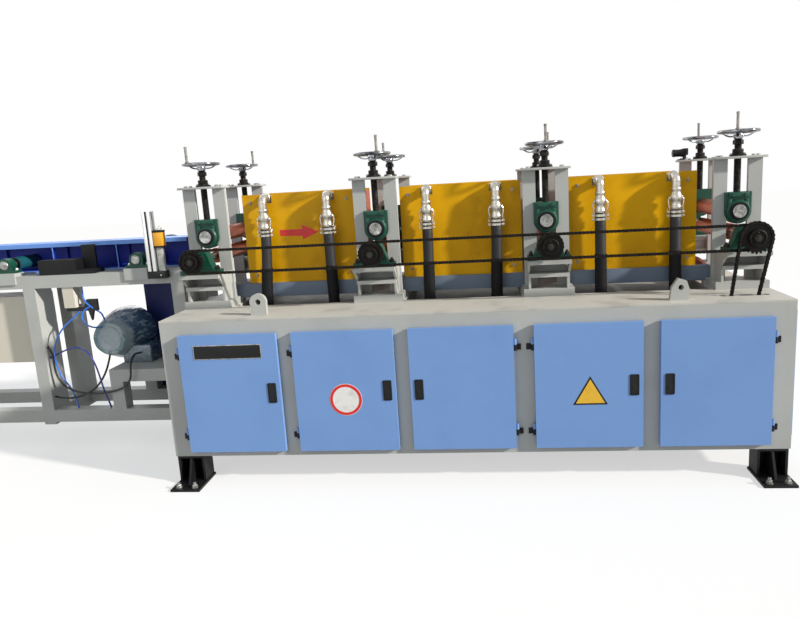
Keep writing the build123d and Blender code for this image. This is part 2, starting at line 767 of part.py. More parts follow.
# Station chains: two runs of side plates round each pair of sprockets, rollers between them on the strands
with BuildPart() as station_chains:
    for first, second, row_y in ((0, 1, chain_row_a), (1, 2, chain_row_b), (2, 3, chain_row_a)):
        start = station_x[first]
        end = station_x[second]
        side_plate = (chain_width - chain_inner_width) / 2
        for layer_y in (row_y + chain_width / 2, row_y - chain_inner_width / 2):
            with BuildSketch(elevation.offset(-layer_y)):
                with Locations(((start + end) / 2, lower_axis_z)):
                    SlotCenterToCenter(end - start, 2 * (chain_pitch_radius + chain_half_height))
                    SlotCenterToCenter(
                        end - start,
                        2 * (chain_pitch_radius - chain_half_height),
                        mode=Mode.SUBTRACT,
                    )
            extrude(amount=side_plate)
        with BuildSketch(elevation.offset(-row_y - chain_inner_width / 2)):
            with Locations(((start + end) / 2, lower_axis_z)):
                with GridLocations(1, 2 * chain_pitch_radius, 1, 2):
                    Rectangle(end - start - 2 * chain_pitch_radius, 2 * chain_half_height)
        extrude(amount=chain_inner_width)
        with BuildSketch(elevation.offset(-row_y - chain_inner_width / 2)):
            with Locations(((start + end) / 2, lower_axis_z)):
                SlotCenterToCenter(end - start, 2 * (chain_pitch_radius + chain_half_height))
                Rectangle(end - start, 4 * chain_pitch_radius, mode=Mode.SUBTRACT)
            with Locations((start, lower_axis_z), (end, lower_axis_z)):
                Circle(chain_pitch_radius + tooth_tip + tip_clearance, mode=Mode.SUBTRACT)
        extrude(amount=chain_inner_width)
station_chains.part.label = "station_chains"
export_step(station_chains.part, "parts/station_chains.step")

# Drive chain from station 4 down through the deck slot to the pinion in the cabinet
with BuildPart() as drive_chain:
    for layer_y in (drive_row + chain_width / 2, drive_row - chain_inner_width / 2):
        with BuildSketch(elevation.offset(-layer_y)):
            with Locations((station_x[3], lower_axis_z)):
                Circle(drive_pitch_radius + chain_half_height)
            with Locations((pinion_x, pinion_z)):
                Circle(drive_pinion_radius + chain_half_height)
            make_hull()
            with BuildSketch(elevation.offset(-layer_y), mode=Mode.SUBTRACT):
                with Locations((station_x[3], lower_axis_z)):
                    Circle(drive_pitch_radius - chain_half_height)
                with Locations((pinion_x, pinion_z)):
                    Circle(drive_pinion_radius - chain_half_height)
                make_hull()
        extrude(amount=(chain_width - chain_inner_width) / 2)
    with BuildSketch(elevation.offset(-drive_row - chain_inner_width / 2)):
        with Locations((station_x[3], lower_axis_z)):
            Circle(drive_pitch_radius + chain_half_height)
        with Locations((pinion_x, pinion_z)):
            Circle(drive_pinion_radius + chain_half_height)
        make_hull()
        with BuildSketch(elevation.offset(-drive_row - chain_inner_width / 2), mode=Mode.SUBTRACT):
            with Locations((station_x[3], lower_axis_z)):
                Circle(drive_pitch_radius - chain_half_height)
            with Locations((pinion_x, pinion_z)):
                Circle(drive_pinion_radius - chain_half_height)
            make_hull()
        with Locations((station_x[3], lower_axis_z)):
            Circle(drive_pitch_radius + tooth_tip + tip_clearance, mode=Mode.SUBTRACT)
        with Locations((pinion_x, pinion_z)):
            Circle(drive_pinion_radius + tooth_tip + tip_clearance, mode=Mode.SUBTRACT)
    extrude(amount=chain_inner_width)
drive_chain.part.label = "drive_chain"
export_step(drive_chain.part, "parts/drive_chain.step")

# Geared drive motor on a welded stand in the right end of the cabinet, with the chain pinion
gearbox_front_y = 200.0
gearbox_rear_y = 390.0
with BuildPart() as drive_motor:
    with BuildSketch(elevation.offset(-gearbox_rear_y)):
        with Locations((pinion_x, pinion_z)):
            RectangleRounded(210.0, 230.0, 30.0)
    extrude(amount=gearbox_rear_y - gearbox_front_y)
    with BuildSketch(elevation.offset(-gearbox_rear_y - 330.0)):
        with Locations((pinion_x, pinion_z)):
            Circle(92.0)
    extrude(amount=330.0)
    with BuildSketch(elevation.offset(-gearbox_front_y)):
        with Locations((pinion_x, pinion_z)):
            Circle(20.0)
    extrude(amount=gearbox_front_y - drive_row + 16.0)
    with BuildSketch(elevation.offset(-drive_row - tooth_width / 2)):
        with Locations((pinion_x, pinion_z)):
            Circle(drive_pinion_radius - tooth_root)
            with PolarLocations(drive_pinion_radius - tooth_root - 1.0, pinion_teeth):
                Trapezoid(
                    2.2 * tooth_root,
                    tooth_root + tooth_tip + 1.0,
                    68,
                    rotation=-90,
                    align=(Align.CENTER, Align.MIN),
                )
    extrude(amount=tooth_width)
    with BuildSketch(plan.offset(pinion_z - 135.0)):
        with Locations((pinion_x, (gearbox_front_y + gearbox_rear_y) / 2)):
            Rectangle(240.0, 230.0)
    extrude(amount=20.0)
    with BuildSketch(plan.offset(cabinet_bottom + sheet)):
        with Locations((pinion_x, (gearbox_front_y + gearbox_rear_y) / 2)):
            with GridLocations(180.0, 170.0, 2, 2):
                Rectangle(50.0, 50.0)
    extrude(amount=pinion_z - 135.0 - cabinet_bottom - sheet)
drive_motor.part.label = "drive_motor"
export_step(drive_motor.part, "parts/drive_motor.step")

# Channel rails that carry the inductor boxes over the troughs
with BuildPart() as box_rails:
    for start, end in rail_spans:
        with BuildSketch(section.offset(start)):
            with BuildLine():
                Polyline(
                    (box_front_y - rail_flange, rail_bottom),
                    (box_front_y + 34.0, rail_bottom),
                    (box_front_y + 34.0, rail_bottom + rail_sheet),
                    (box_front_y - rail_flange + rail_sheet, rail_bottom + rail_sheet),
                    (box_front_y - rail_flange + rail_sheet, box_bottom - rail_sheet),
                    (box_front_y + 34.0, box_bottom - rail_sheet),
                    (box_front_y + 34.0, box_bottom),
                    (box_front_y - rail_flange, box_bottom),
                    close=True,
                )
            make_face()
        extrude(amount=end - start)
    mirror(about=middle)
box_rails.part.label = "box_rails"
export_step(box_rails.part, "parts/box_rails.step")

# Coil blocks with the heating bore along the pass line
with BuildPart() as coil_blocks:
    for start, end in box_spans:
        with BuildSketch(section.offset(start + end_board_thickness)):
            with Locations((pass_line_y, coil_middle_z)):
                Rectangle(coil_rear_y - coil_front_y, coil_top - box_bottom)
            with Locations((pass_line_y, lower_axis_z + roll_radius + roll_gap / 2)):
                Circle(coil_bore_radius, mode=Mode.SUBTRACT)
        extrude(amount=end - start - 2 * end_board_thickness)
coil_blocks.part.label = "coil_blocks"
export_step(coil_blocks.part, "parts/coil_blocks.step")

# Bakelite boards on both ends of each coil block
with BuildPart() as end_boards:
    for start, end in box_spans:
        for board_x in (start, end - end_board_thickness):
            with BuildSketch(section.offset(board_x)):
                with Locations((pass_line_y, coil_middle_z)):
                    Rectangle(coil_rear_y - coil_front_y, coil_top - box_bottom)
                with Locations((pass_line_y, lower_axis_z + roll_radius + roll_gap / 2)):
                    Circle(board_bore_radius, mode=Mode.SUBTRACT)
            extrude(amount=end_board_thickness)
end_boards.part.label = "end_boards"
export_step(end_boards.part, "parts/end_boards.step")

# Front and rear panels of the boxes; the front ones are notched where the elbows come out
with BuildPart() as box_panels:
    for index, (start, end) in enumerate(box_spans):
        with BuildSketch(elevation.offset(-coil_front_y)):
            with Locations(((start + end) / 2, (box_bottom + box_top) / 2)):
                Rectangle(end - start, box_top - box_bottom)
            for hose_x in hose_tops[2 * index:2 * index + 2]:
                with Locations((hose_x, box_top)):
                    Rectangle(notch_width, 2 * notch_depth, mode=Mode.SUBTRACT)
        extrude(amount=panel_thickness)
        with BuildSketch(elevation.offset(-box_rear_y)):
            with Locations(((start + end) / 2, (box_bottom + box_top) / 2)):
                Rectangle(end - start, box_top - box_bottom)
        extrude(amount=panel_thickness)
box_panels.part.label = "box_panels"
export_step(box_panels.part, "parts/box_panels.step")

# Water and power elbows with a coupling and a hose clamp each, and the spigots in the trays
with BuildPart() as hose_fittings:
    for top_x, foot_x in zip(hose_tops, hose_feet):
        with BuildLine():
            FilletPolyline(
                (left + top_x, front + coil_front_y, elbow_axis_z),
                (left + top_x, front + hose_y, elbow_axis_z),
                (left + top_x, front + hose_y, coupling_top),
                radius=elbow_radius + 6.0,
            )
        with BuildSketch(elevation.offset(-coil_front_y)):
            with Locations((top_x, elbow_axis_z)):
                Circle(elbow_radius)
        sweep()
        with BuildSketch(plan.offset(clamp_top)):
            with Locations((top_x, hose_y)):
                Circle(coupling_radius)
        extrude(amount=coupling_top - clamp_top)
        with BuildSketch(plan.offset(clamp_bottom)):
            with Locations((top_x, hose_y)):
                RegularPolygon(clamp_radius, 12)
        extrude(amount=clamp_top - clamp_bottom)
        with BuildSketch(plan.offset(trough_floor + tray_sheet)):
            with Locations((foot_x, hose_y)):
                Circle(clamp_radius)
        extrude(amount=spigot_height)
hose_fittings.part.label = "hose_fittings"
export_step(hose_fittings.part, "parts/hose_fittings.step")

# Black hoses with a thicker protective sleeve on their lower part
with BuildPart() as hoses:
    for top_x, foot_x in zip(hose_tops, hose_feet):
        with BuildSketch(plan.offset(sleeve_top)):
            with Locations(((top_x + foot_x) / 2, hose_y)):
                Circle(hose_radius)
        with BuildSketch(plan.offset(clamp_bottom)):
            with Locations((top_x, hose_y)):
                Circle(hose_radius)
        loft()
        with BuildSketch(plan.offset(trough_floor + tray_sheet + spigot_height)):
            with Locations((foot_x, hose_y)):
                Circle(sleeve_radius)
        with BuildSketch(plan.offset(sleeve_top)):
            with Locations(((top_x + foot_x) / 2, hose_y)):
                Circle(sleeve_radius)
        loft()
hoses.part.label = "hoses"
export_step(hoses.part, "parts/hoses.step")

# Slanted outlet plate under the rolls of station 4, on a block
outlet_x = station_x[3]
with BuildPart() as outlet_plate:
    with BuildSketch(elevation.offset(-pass_line_y - 130.0)):
        with BuildLine():
            Polyline(
                (outlet_x - 121.0, deck_top + 128.0),
                (outlet_x + 3.0, deck_top + 4.0),
                (outlet_x + 3.0, deck_top),
                (outlet_x - 12.0, deck_top),
                (outlet_x - 131.0, deck_top + 120.0),
                close=True,
            )
        make_face()
        with BuildLine():
            Polyline(
                (outlet_x - 99.0, deck_top + 94.0),
                (outlet_x - 23.0, deck_top + 18.0),
                (outlet_x - 23.0, deck_top),
                (outlet_x - 99.0, deck_top),
                close=True,
            )
        make_face()
    extrude(amount=260.0)
outlet_plate.part.label = "outlet_plate"
export_step(outlet_plate.part, "parts/outlet_plate.step")

# Black fitting on the rear top plate of station 4
plate_top = post_top + top_plate_thickness
with BuildPart() as top_fitting:
    with BuildSketch(plan.offset(plate_top)):
        with Locations((station_x[3] - 110.0, 2 * pass_line_y - post_middle_y)):
            Rectangle(110.0, 60.0)
    extrude(amount=30.0)
    with BuildSketch(plan.offset(plate_top + 30.0)):
        with Locations((station_x[3] - 110.0, 2 * pass_line_y - post_middle_y)):
            Circle(24.0)
    extrude(amount=38.0)
top_fitting.part.label = "top_fitting"
export_step(top_fitting.part, "parts/top_fitting.step")

# Bench frame: long beams of square tube, cross tubes, and the risers under the pillow blocks
beam_middles_y = (bench_front_y + bench_tube / 2, bench_rear_y - bench_tube / 2)
with BuildPart() as bench_beams:
    with BuildSketch(section.offset(-bench_reach)):
        for beam_y in beam_middles_y:
            with Locations((beam_y, bench_top - bench_tube / 2)):
                Rectangle(bench_tube, bench_tube)
                Rectangle(bench_tube - 2 * bench_wall, bench_tube - 2 * bench_wall, mode=Mode.SUBTRACT)
    extrude(amount=bench_reach - bench_right)
    for start, end in ((leg_x[1], leg_x[0]), (leg_x[2], leg_x[1])):
        with BuildSketch(section.offset(start + bench_tube / 2)):
            for beam_y in beam_middles_y:
                with Locations((beam_y, bench_low_beam + bench_tube / 2)):
                    Rectangle(bench_tube, bench_tube)
                    Rectangle(bench_tube - 2 * bench_wall, bench_tube - 2 * bench_wall, mode=Mode.SUBTRACT)
        extrude(amount=end - start - bench_tube)
    for beam_z, end_depth in (
        (bench_low_beam + bench_tube / 2, leg_depth),
        (bench_top - bench_tube / 2, bench_tube),
    ):
        with BuildSketch(elevation.offset(-bench_rear_y + end_depth)):
            for x in leg_x:
                with Locations((x, beam_z)):
                    Rectangle(bench_tube, bench_tube)
                    Rectangle(bench_tube - 2 * bench_wall, bench_tube - 2 * bench_wall, mode=Mode.SUBTRACT)
        extrude(amount=bench_width - 2 * end_depth)
    for x in roller_x:
        with BuildSketch(plan.offset(bench_top)):
            with Locations((x, beam_middles_y[0]), (x, beam_middles_y[1])):
                Rectangle(roller_block_length, bench_tube)
        extrude(amount=riser_top - bench_top)
        with BuildSketch(elevation.offset(-bench_front_y)):
            with Locations((x, riser_top - riser_apron_drop / 2)):
                Rectangle(roller_block_length, riser_apron_drop)
        extrude(amount=riser_apron)
bench_beams.part.label = "bench_beams"
export_step(bench_beams.part, "parts/bench_beams.step")

# Bench legs of flat rectangular tube, from the feet up to the top beams
with BuildPart() as bench_legs:
    with BuildSketch(plan.offset(cabinet_bottom)):
        for x in leg_x:
            with Locations((x, bench_middle_y)):
                with GridLocations(1, bench_width - leg_depth, 1, 2):
                    Rectangle(bench_tube, leg_depth)
                    Rectangle(bench_tube - 2 * bench_wall, leg_depth - 2 * bench_wall, mode=Mode.SUBTRACT)
    extrude(amount=bench_top - bench_tube - cabinet_bottom)
bench_legs.part.label = "bench_legs"
export_step(bench_legs.part, "parts/bench_legs.step")

# Pillow blocks of the two bench rollers
with BuildPart() as bench_pillows:
    for x in roller_x:
        for block_y in (beam_middles_y[0], beam_middles_y[1] - 10.0):
            with BuildSketch(elevation.offset(-block_y - roller_block_depth / 2)):
                with Locations((x, riser_top + 8.0)):
                    Rectangle(roller_block_length, 16.0)
                with Locations((x, (riser_top + roller_axis_z) / 2)):
                    Rectangle(1.9 * roller_block_head, roller_axis_z - riser_top)
                with Locations((x, roller_axis_z)):
                    Circle(roller_block_head)
                    Circle(roller_shaft_radius + running_clearance, mode=Mode.SUBTRACT)
            extrude(amount=roller_block_depth)
bench_pillows.part.label = "bench_pillows"
export_step(bench_pillows.part, "parts/bench_pillows.step")

# Bench rollers; the first carries a large black disc at its rear end
for number, x in enumerate(roller_x, start=1):
    roller_tip_y = beam_middles_y[0] - roller_block_depth / 2 - 10.0
    roller_end_y = disc_middle_y + disc_thickness
    with BuildPart() as bench_roller:
        with BuildSketch(elevation.offset(-roller_rear_y)):
            with Locations((x, roller_axis_z)):
                Circle(roller_radius)
        extrude(amount=roller_rear_y - roller_front_y)
        with BuildSketch(elevation.offset(-roller_end_y)):
            with Locations((x, roller_axis_z)):
                Circle(roller_shaft_radius)
        extrude(amount=roller_end_y - roller_tip_y)
        if number == 1:
            with BuildSketch(elevation.offset(-disc_middle_y - disc_thickness / 2)):
                with Locations((x, roller_axis_z)):
                    Circle(disc_radius)
            extrude(amount=disc_thickness)
    bench_roller.part.label = f"bench_roller_{number}"
    export_step(bench_roller.part, f"parts/bench_roller_{number}.step")

# Blue channel behind the rollers, open to the front, with ribs and holes for the roller shafts
first_rib = trough_right - 450.0
rib_pitch = (first_rib - trough_left - 200.0) / (trough_ribs - 1)
with BuildPart() as feed_trough:
    with BuildSketch(section.offset(trough_left)):
        with BuildLine():
            Polyline(
                (trough_lip_y, trough_top - 24.0),
                (trough_lip_y, trough_top),
                (trough_web_y, trough_top),
                (trough_web_y, trough_bottom),
                (trough_lip_y, trough_bottom),
                (trough_lip_y, trough_bottom + trough_sheet),
                (trough_web_y - trough_sheet, trough_bottom + trough_sheet),
                (trough_web_y - trough_sheet, trough_top - trough_sheet),
                (trough_lip_y + trough_sheet, trough_top - trough_sheet),
                (trough_lip_y + trough_sheet, trough_top - 24.0),
                close=True,
            )
        make_face()
    extrude(amount=trough_right - trough_left)
    with BuildSketch(elevation.offset(-trough_web_y - 1.0)):
        for x in roller_x:
            with Locations((x, roller_axis_z)):
                Circle(roller_shaft_radius + 9.0)
    extrude(amount=trough_sheet + 2.0, mode=Mode.SUBTRACT)
    for index in range(trough_ribs):
        with BuildSketch(section.offset(first_rib - index * rib_pitch)):
            with Locations(((trough_lip_y + trough_web_y) / 2, (trough_top + trough_bottom) / 2)):
                Rectangle(trough_web_y - trough_lip_y - 2.0, trough_top - trough_bottom - 2.0)
                Rectangle(
                    trough_web_y - trough_lip_y - 44.0,
                    trough_top - trough_bottom - 44.0,
                    mode=Mode.SUBTRACT,
                )
        extrude(amount=trough_sheet)
    with BuildSketch(plan.offset(bench_top)):
        for x in leg_x:
            with Locations((max(x, trough_left + bench_tube / 2), (trough_lip_y + trough_web_y) / 2)):
                Rectangle(bench_tube, trough_web_y - trough_lip_y)
    extrude(amount=trough_bottom - bench_top)
feed_trough.part.label = "feed_trough"
export_step(feed_trough.part, "parts/feed_trough.step")

# Platform under the bench motor, on four short legs that stand on the low beams
platform_middle_x = (platform_left + platform_right) / 2
with BuildPart() as motor_platform:
    with BuildSketch(plan.offset(platform_top - bench_tube)):
        with Locations((platform_middle_x, bench_middle_y)):
            Rectangle(platform_length, bench_width)
            Rectangle(platform_length - 2 * bench_tube, bench_width - 2 * bench_tube, mode=Mode.SUBTRACT)
    extrude(amount=bench_tube)
    with BuildSketch(plan.offset(platform_top - 8.0)):
        with Locations((platform_middle_x, bench_middle_y)):
            Rectangle(platform_length, bench_width)
    extrude(amount=8.0)
    with BuildSketch(plan.offset(bench_low_beam + bench_tube)):
        with Locations((platform_middle_x, bench_middle_y)):
            with GridLocations(platform_length - platform_leg, bench_width - bench_tube, 2, 2):
                Rectangle(platform_leg, bench_tube)
    extrude(amount=platform_top - 2 * bench_tube - bench_low_beam)
motor_platform.part.label = "motor_platform"
export_step(motor_platform.part, "parts/motor_platform.step")

# Film-wrapped geared motor: narrow round front, wide round rear part, and a foot block on the platform
motor_x = platform_left + motor_offset
motor_front_y = bench_front_y + 92.0
motor_waist_y = bench_front_y + 270.0
motor_rear_y = bench_front_y + 370.0
with BuildPart() as bench_motor:
    with BuildSketch(elevation.offset(-motor_front_y)):
        with Locations((motor_x - 18.0, motor_axis_z + 4.0)):
            Circle(101.0)
    with BuildSketch(elevation.offset(-motor_waist_y)):
        with Locations((motor_x, motor_axis_z)):
            Circle(165.0)
    loft()
    with BuildSketch(elevation.offset(-motor_rear_y)):
        with Locations((motor_x, motor_axis_z)):
            Circle(165.0)
    extrude(amount=motor_rear_y - motor_waist_y)
    with BuildSketch(elevation.offset(-motor_rear_y)):
        with Locations((platform_left + 105.0, (platform_top + motor_axis_z) / 2)):
            Rectangle(190.0, motor_axis_z - platform_top)
    extrude(amount=motor_rear_y - motor_front_y - 60.0)
bench_motor.part.label = "bench_motor"
export_step(bench_motor.part, "parts/bench_motor.step")

# Slotted aluminium upright with a sensor head on its right side
upright_middle_x = -243.0
with BuildPart() as bar_sensor:
    with BuildSketch(plan.offset(bench_top - 40.0)):
        with Locations((upright_middle_x, bench_front_y - 25.0)):
            Rectangle(50.0, 50.0)
            for turn in (0, 90, 180, 270):
                with Locations(Location((0, 0, 0), (0, 0, turn))):
                    with Locations((21.0, 0.0)):
                        Rectangle(8.0, 9.0, mode=Mode.SUBTRACT)
    extrude(amount=385.0)
    with BuildSketch(plan.offset(1218.0)):
        with Locations((upright_middle_x + 25.0 + 30.0, bench_front_y - 25.0)):
            RectangleRounded(60.0, 44.0, 6.0)
    extrude(amount=107.0)
bar_sensor.part.label = "bar_sensor"
export_step(bar_sensor.part, "parts/bar_sensor.step")

# Black box between the rollers, with a flat plate beside it and an upright plate behind
guide_left = -975.0
with BuildPart() as guide_box:
    with BuildSketch(plan.offset(bench_top)):
        with Locations((guide_left + 117.5, bench_front_y + bench_tube / 2)):
            Rectangle(235.0, bench_tube)
    extrude(amount=88.0)
    with BuildSketch(plan.offset(bench_top)):
        with Locations((guide_left + 290.0, bench_front_y + 55.0)):
            Rectangle(110.0, 110.0)
    extrude(amount=24.0)
    with BuildSketch(plan.offset(bench_top)):
        with Locations((guide_left + 267.5, bench_front_y + 98.0)):
            Rectangle(85.0, 16.0)
    extrude(amount=165.0)
guide_box.part.label = "guide_box"
export_step(guide_box.part, "parts/guide_box.step")

# Air unit: valve box beside a leg in the left bay, cylinder and bracket under the front top beam
cylinder_x = -820.0
with BuildPart() as air_unit:
    with BuildSketch(plan.offset(bench_low_beam + 372.0)):
        with Locations((leg_x[1] - bench_tube / 2 - 300.0, bench_front_y + 160.0)):
            Rectangle(600.0, 200.0)
    extrude(amount=413.0)
    with BuildSketch(plan.offset(bench_top - bench_tube - 127.0)):
        with Locations((cylinder_x, bench_front_y + bench_tube / 2)):
            Rectangle(70.0, 60.0)
    extrude(amount=127.0)
    with BuildSketch(elevation.offset(-bench_front_y - 48.0)):
        with BuildLine():
            Polyline(
                (cylinder_x - 35.0, 877.0),
                (cylinder_x + 75.0, 877.0),
                (cylinder_x + 95.0, 922.0),
                (cylinder_x + 159.0, 922.0),
                (cylinder_x + 159.0, 853.0),
                (cylinder_x + 130.0, 853.0),
                (cylinder_x + 113.0, 793.0),
                (cylinder_x + 98.0, 853.0),
                (cylinder_x - 35.0, 853.0),
                close=True,
            )
        make_face()
    extrude(amount=20.0)
air_unit.part.label = "air_unit"
export_step(air_unit.part, "parts/air_unit.step")

# Navy sheet on the rear of the bench's right bay
with BuildPart() as bench_back_panel:
    with BuildSketch(elevation.offset(-bench_rear_y - back_sheet)):
        with Locations(((platform_left + 36.0 - bench_right) / 2, (bench_low_beam + bench_top - bench_tube) / 2)):
            Rectangle(-bench_right - platform_left - 36.0, bench_top - bench_tube - bench_low_beam)
    extrude(amount=back_sheet)
bench_back_panel.part.label = "bench_back_panel"
export_step(bench_back_panel.part, "parts/bench_back_panel.step")
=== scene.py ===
import math

import bmesh
import bpy
from mathutils import Matrix, Vector


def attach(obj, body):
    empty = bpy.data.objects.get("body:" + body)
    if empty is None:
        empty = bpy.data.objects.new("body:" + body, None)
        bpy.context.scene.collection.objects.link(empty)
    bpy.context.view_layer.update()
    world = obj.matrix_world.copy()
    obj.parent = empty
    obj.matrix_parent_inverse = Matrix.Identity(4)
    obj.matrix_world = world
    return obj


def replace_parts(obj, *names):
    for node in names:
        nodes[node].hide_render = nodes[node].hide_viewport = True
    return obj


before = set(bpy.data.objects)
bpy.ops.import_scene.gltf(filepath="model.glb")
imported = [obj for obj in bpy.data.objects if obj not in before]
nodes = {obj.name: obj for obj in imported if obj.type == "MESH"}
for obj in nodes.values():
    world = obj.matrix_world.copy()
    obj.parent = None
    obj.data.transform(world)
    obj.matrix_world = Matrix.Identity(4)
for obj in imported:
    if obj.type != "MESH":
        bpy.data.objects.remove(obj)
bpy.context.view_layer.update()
scene = bpy.context.scene

# Cabinet, stands and bench frame: welded sheet and tube in one light grey paint. The paint is
# sprayed, satin, with a fine orange peel and a little dust. Every finish below is a Look.


def shade(code):
    """A colour written as six hex digits, made linear."""
    parts = [int(code[i:i + 2], 16) / 255 for i in (0, 2, 4)]
    return tuple(p / 12.92 if p <= 0.04045 else ((p + 0.055) / 1.055) ** 2.4 for p in parts)


class Level:
    """A number socket. Sums and products of levels add Math nodes."""

    def __init__(self, look, socket):
        self.look = look
        self.socket = socket

    def math(self, operation, first, second=0.0):
        return self.look.node("ShaderNodeMath", {"operation": operation}, {0: first, 1: second})

    def __add__(self, other):
        return self.math("ADD", self, other)

    def __radd__(self, other):
        return self.math("ADD", other, self)

    def __sub__(self, other):
        return self.math("SUBTRACT", self, other)

    def __rsub__(self, other):
        return self.math("SUBTRACT", other, self)

    def __mul__(self, other):
        return self.math("MULTIPLY", self, other)

    def __rmul__(self, other):
        return self.math("MULTIPLY", other, self)

    def wave(self):
        return self.math("SINE", self)


class Look:
    """A procedural material: its Principled shader, and one method that adds any other node."""

    def __init__(self, name, colour, rough, metal=0.0, coat=0.0, shine=0.5):
        self.material = bpy.data.materials.new(name)
        self.material.use_nodes = True
        self.tree = self.material.node_tree
        self.shader = self.tree.nodes["Principled BSDF"]
        coordinates = self.tree.nodes.new("ShaderNodeTexCoord")
        self.place = Level(self, coordinates.outputs["Object"])
        self.colour = colour
        self.put("Base Color", colour)
        self.put("Roughness", rough)
        self.put("Metallic", metal)
        self.put("Coat Weight", coat)
        self.put("Specular IOR Level", shine)

    def feed(self, socket, value):
        if isinstance(value, str):
            value = shade(value)
        if isinstance(value, Level):
            self.tree.links.new(value.socket, socket)
        elif isinstance(value, tuple) and len(value) == 3 and socket.type == "RGBA":
            socket.default_value = (*value, 1.0)
        else:
            socket.default_value = value

    def put(self, name, value):
        self.feed(self.shader.inputs[name], value)

    def node(self, kind, settings, inputs, out=0):
        added = self.tree.nodes.new(kind)
        for key, value in settings.items():
            setattr(added, key, value)
        for key, value in inputs.items():
            self.feed(added.inputs[key], value)
        return Level(self, added.outputs[out])

    def noise(self, scale, detail=3.0, distortion=0.0, place=None):
        inputs = {"Vector": place or self.place, "Scale": scale, "Detail": detail, "Distortion": distortion}
        return self.node("ShaderNodeTexNoise", {}, inputs)

    def along(self, axis):
        return self.node("ShaderNodeSeparateXYZ", {}, {0: self.place}, out="XYZ".index(axis))

    def between(self, value, low, high):
        """0 below low, 1 above high, smooth from one to the other."""
        return self.node("ShaderNodeMapRange", {"interpolation_type": "SMOOTHSTEP"},
                         {"Value": value, "From Min": low, "From Max": high})

    def mix(self, mask, first, second):
        return self.node("ShaderNodeMix", {"data_type": "RGBA"}, {0: mask, 6: first, 7: second}, out=2)

    def cloud(self, mask, light, dark):
        """The base colour, which goes from one written colour to another by a mask."""
        self.put("Base Color", self.mix(mask, light, dark))

    def bump(self, height, strength, distance):
        inputs = {"Height": height, "Strength": strength, "Distance": distance}
        self.put("Normal", self.node("ShaderNodeBump", {}, inputs))


def dress(look, *names):
    """The finish of CAD nodes, in their objects' own material slots."""
    for name in names:
        for material_slot in nodes[name].material_slots:
            material_slot.material = look.material


def painted(name, colour, dusty, rough, peel=0.25, coat=0.0, shine=0.35):
    """Sprayed paint: the colour clouds a little towards dust, and the surface has a fine orange peel."""
    look = Look(name, colour, rough, coat=coat, shine=shine)
    dust = look.between(look.noise(3.2, 5.0), 0.42, 0.74)
    speck = look.between(look.noise(38.0, 2.0), 0.60, 0.78)
    look.cloud(dust * 0.45 + speck * 0.18, colour, dusty)
    look.put("Roughness", rough + look.noise(11.0) * 0.12)
    look.bump(look.noise(240.0, 1.0), peel, 0.0006)
    return look


grey_paint = painted("grey paint", "AFB1AD", "9E9E98", 0.42)
dress(grey_paint, "front_posts", "front_rails", "cabinet_shell", "stand_frames", "stand_posts")
dress(grey_paint, "lifting_lugs", "bench_beams", "bench_legs", "motor_platform")

# Deck: a steel plate welded over the cabinet, in the same paint, but painted lighter and warmer as painted
# sunlight on its top. Boots and tools scuff it with grey dirt, and the trays that catch the water are painted
# darker by depth as painted shade.
sunlit_deck_paint = painted("sunlit deck paint", "BDBBB3", "A29D93", 0.48)
# Painted shade: the colour darkens below the top of the deck, down into the trays.
tray_shade = 1 - sunlit_deck_paint.between(sunlit_deck_paint.along("Z"), 0.86, 0.879)
deck_dirt = sunlit_deck_paint.between(sunlit_deck_paint.noise(5.5, 7.0), 0.50, 0.72)
sunlit_deck_paint.cloud(tray_shade * 0.5 + deck_dirt * 0.3, "C2C0B8", "6E6B64")
dress(sunlit_deck_paint, "deck")

# Black feet and hinges: brushed paint over welded plate, a little dusty. Each foot is held by two anchor
# bolts, whose washers and nuts stand on its lip.
black_paint = painted("black paint", "121316", "2A2826", 0.46, peel=0.35, shine=0.2)
dress(black_paint, "anchor_feet", "door_hinges", "guide_box", "top_fitting")


def bare_metal(name, light, dark, rough, metal=0.95, scale=24.0):
    """Metal without paint: stains from light to dark, which on the chrome are painted reflections, and the
    gloss changes with them.
    """
    look = Look(name, light, rough, metal=metal)
    stain_and_reflection = look.noise(scale, 5.0)
    look.cloud(look.between(stain_and_reflection, 0.35, 0.75), light, dark)
    look.put("Roughness", rough + stain_and_reflection * 0.16)
    return look


zinc = bare_metal("zinc plating", "A9A9A6", "77766F", 0.38, scale=60.0)


def spot(x, y, z):
    """Millimetres from the cabinet's left front corner on the floor, turned into the frame's metres."""
    return Vector(((x - 542) / 1000, (y - 625) / 1000, z / 1000))


def pose(place, direction=(0, 0, 1), turn=0.0):
    """Carries a shape made along Z to a place, along a direction, after a turn about its own axis."""
    aim = Vector((0, 0, 1)).rotation_difference(Vector(direction)).to_matrix().to_4x4()
    return Matrix.Translation(place) @ aim @ Matrix.Rotation(turn, 4, "Z")


def join(bm, part, matrix=None, finish_index=0):
    """Adds a finished part to a piece, in its place and with one of the piece's finishes."""
    if matrix is not None:
        bmesh.ops.transform(part, matrix=matrix, verts=part.verts)
    for face in part.faces:
        face.material_index = finish_index
    carried = bpy.data.meshes.new("carried")
    part.to_mesh(carried)
    part.free()
    bm.from_mesh(carried)
    bpy.data.meshes.remove(carried)


def turned(profile, sides=24):
    """A lathe-turned shape about Z from pairs of radius and height."""
    part = bmesh.new()
    points = [part.verts.new((radius, 0, height)) for radius, height in profile]
    edges = [part.edges.new(pair) for pair in zip(points, points[1:])]
    bmesh.ops.spin(part, geom=points + edges, axis=(0, 0, 1), cent=(0, 0, 0), angle=math.tau, steps=sides,
                   use_merge=True)
    bmesh.ops.remove_doubles(part, verts=part.verts, dist=1e-6)
    bmesh.ops.recalc_face_normals(part, faces=part.faces)
    return part


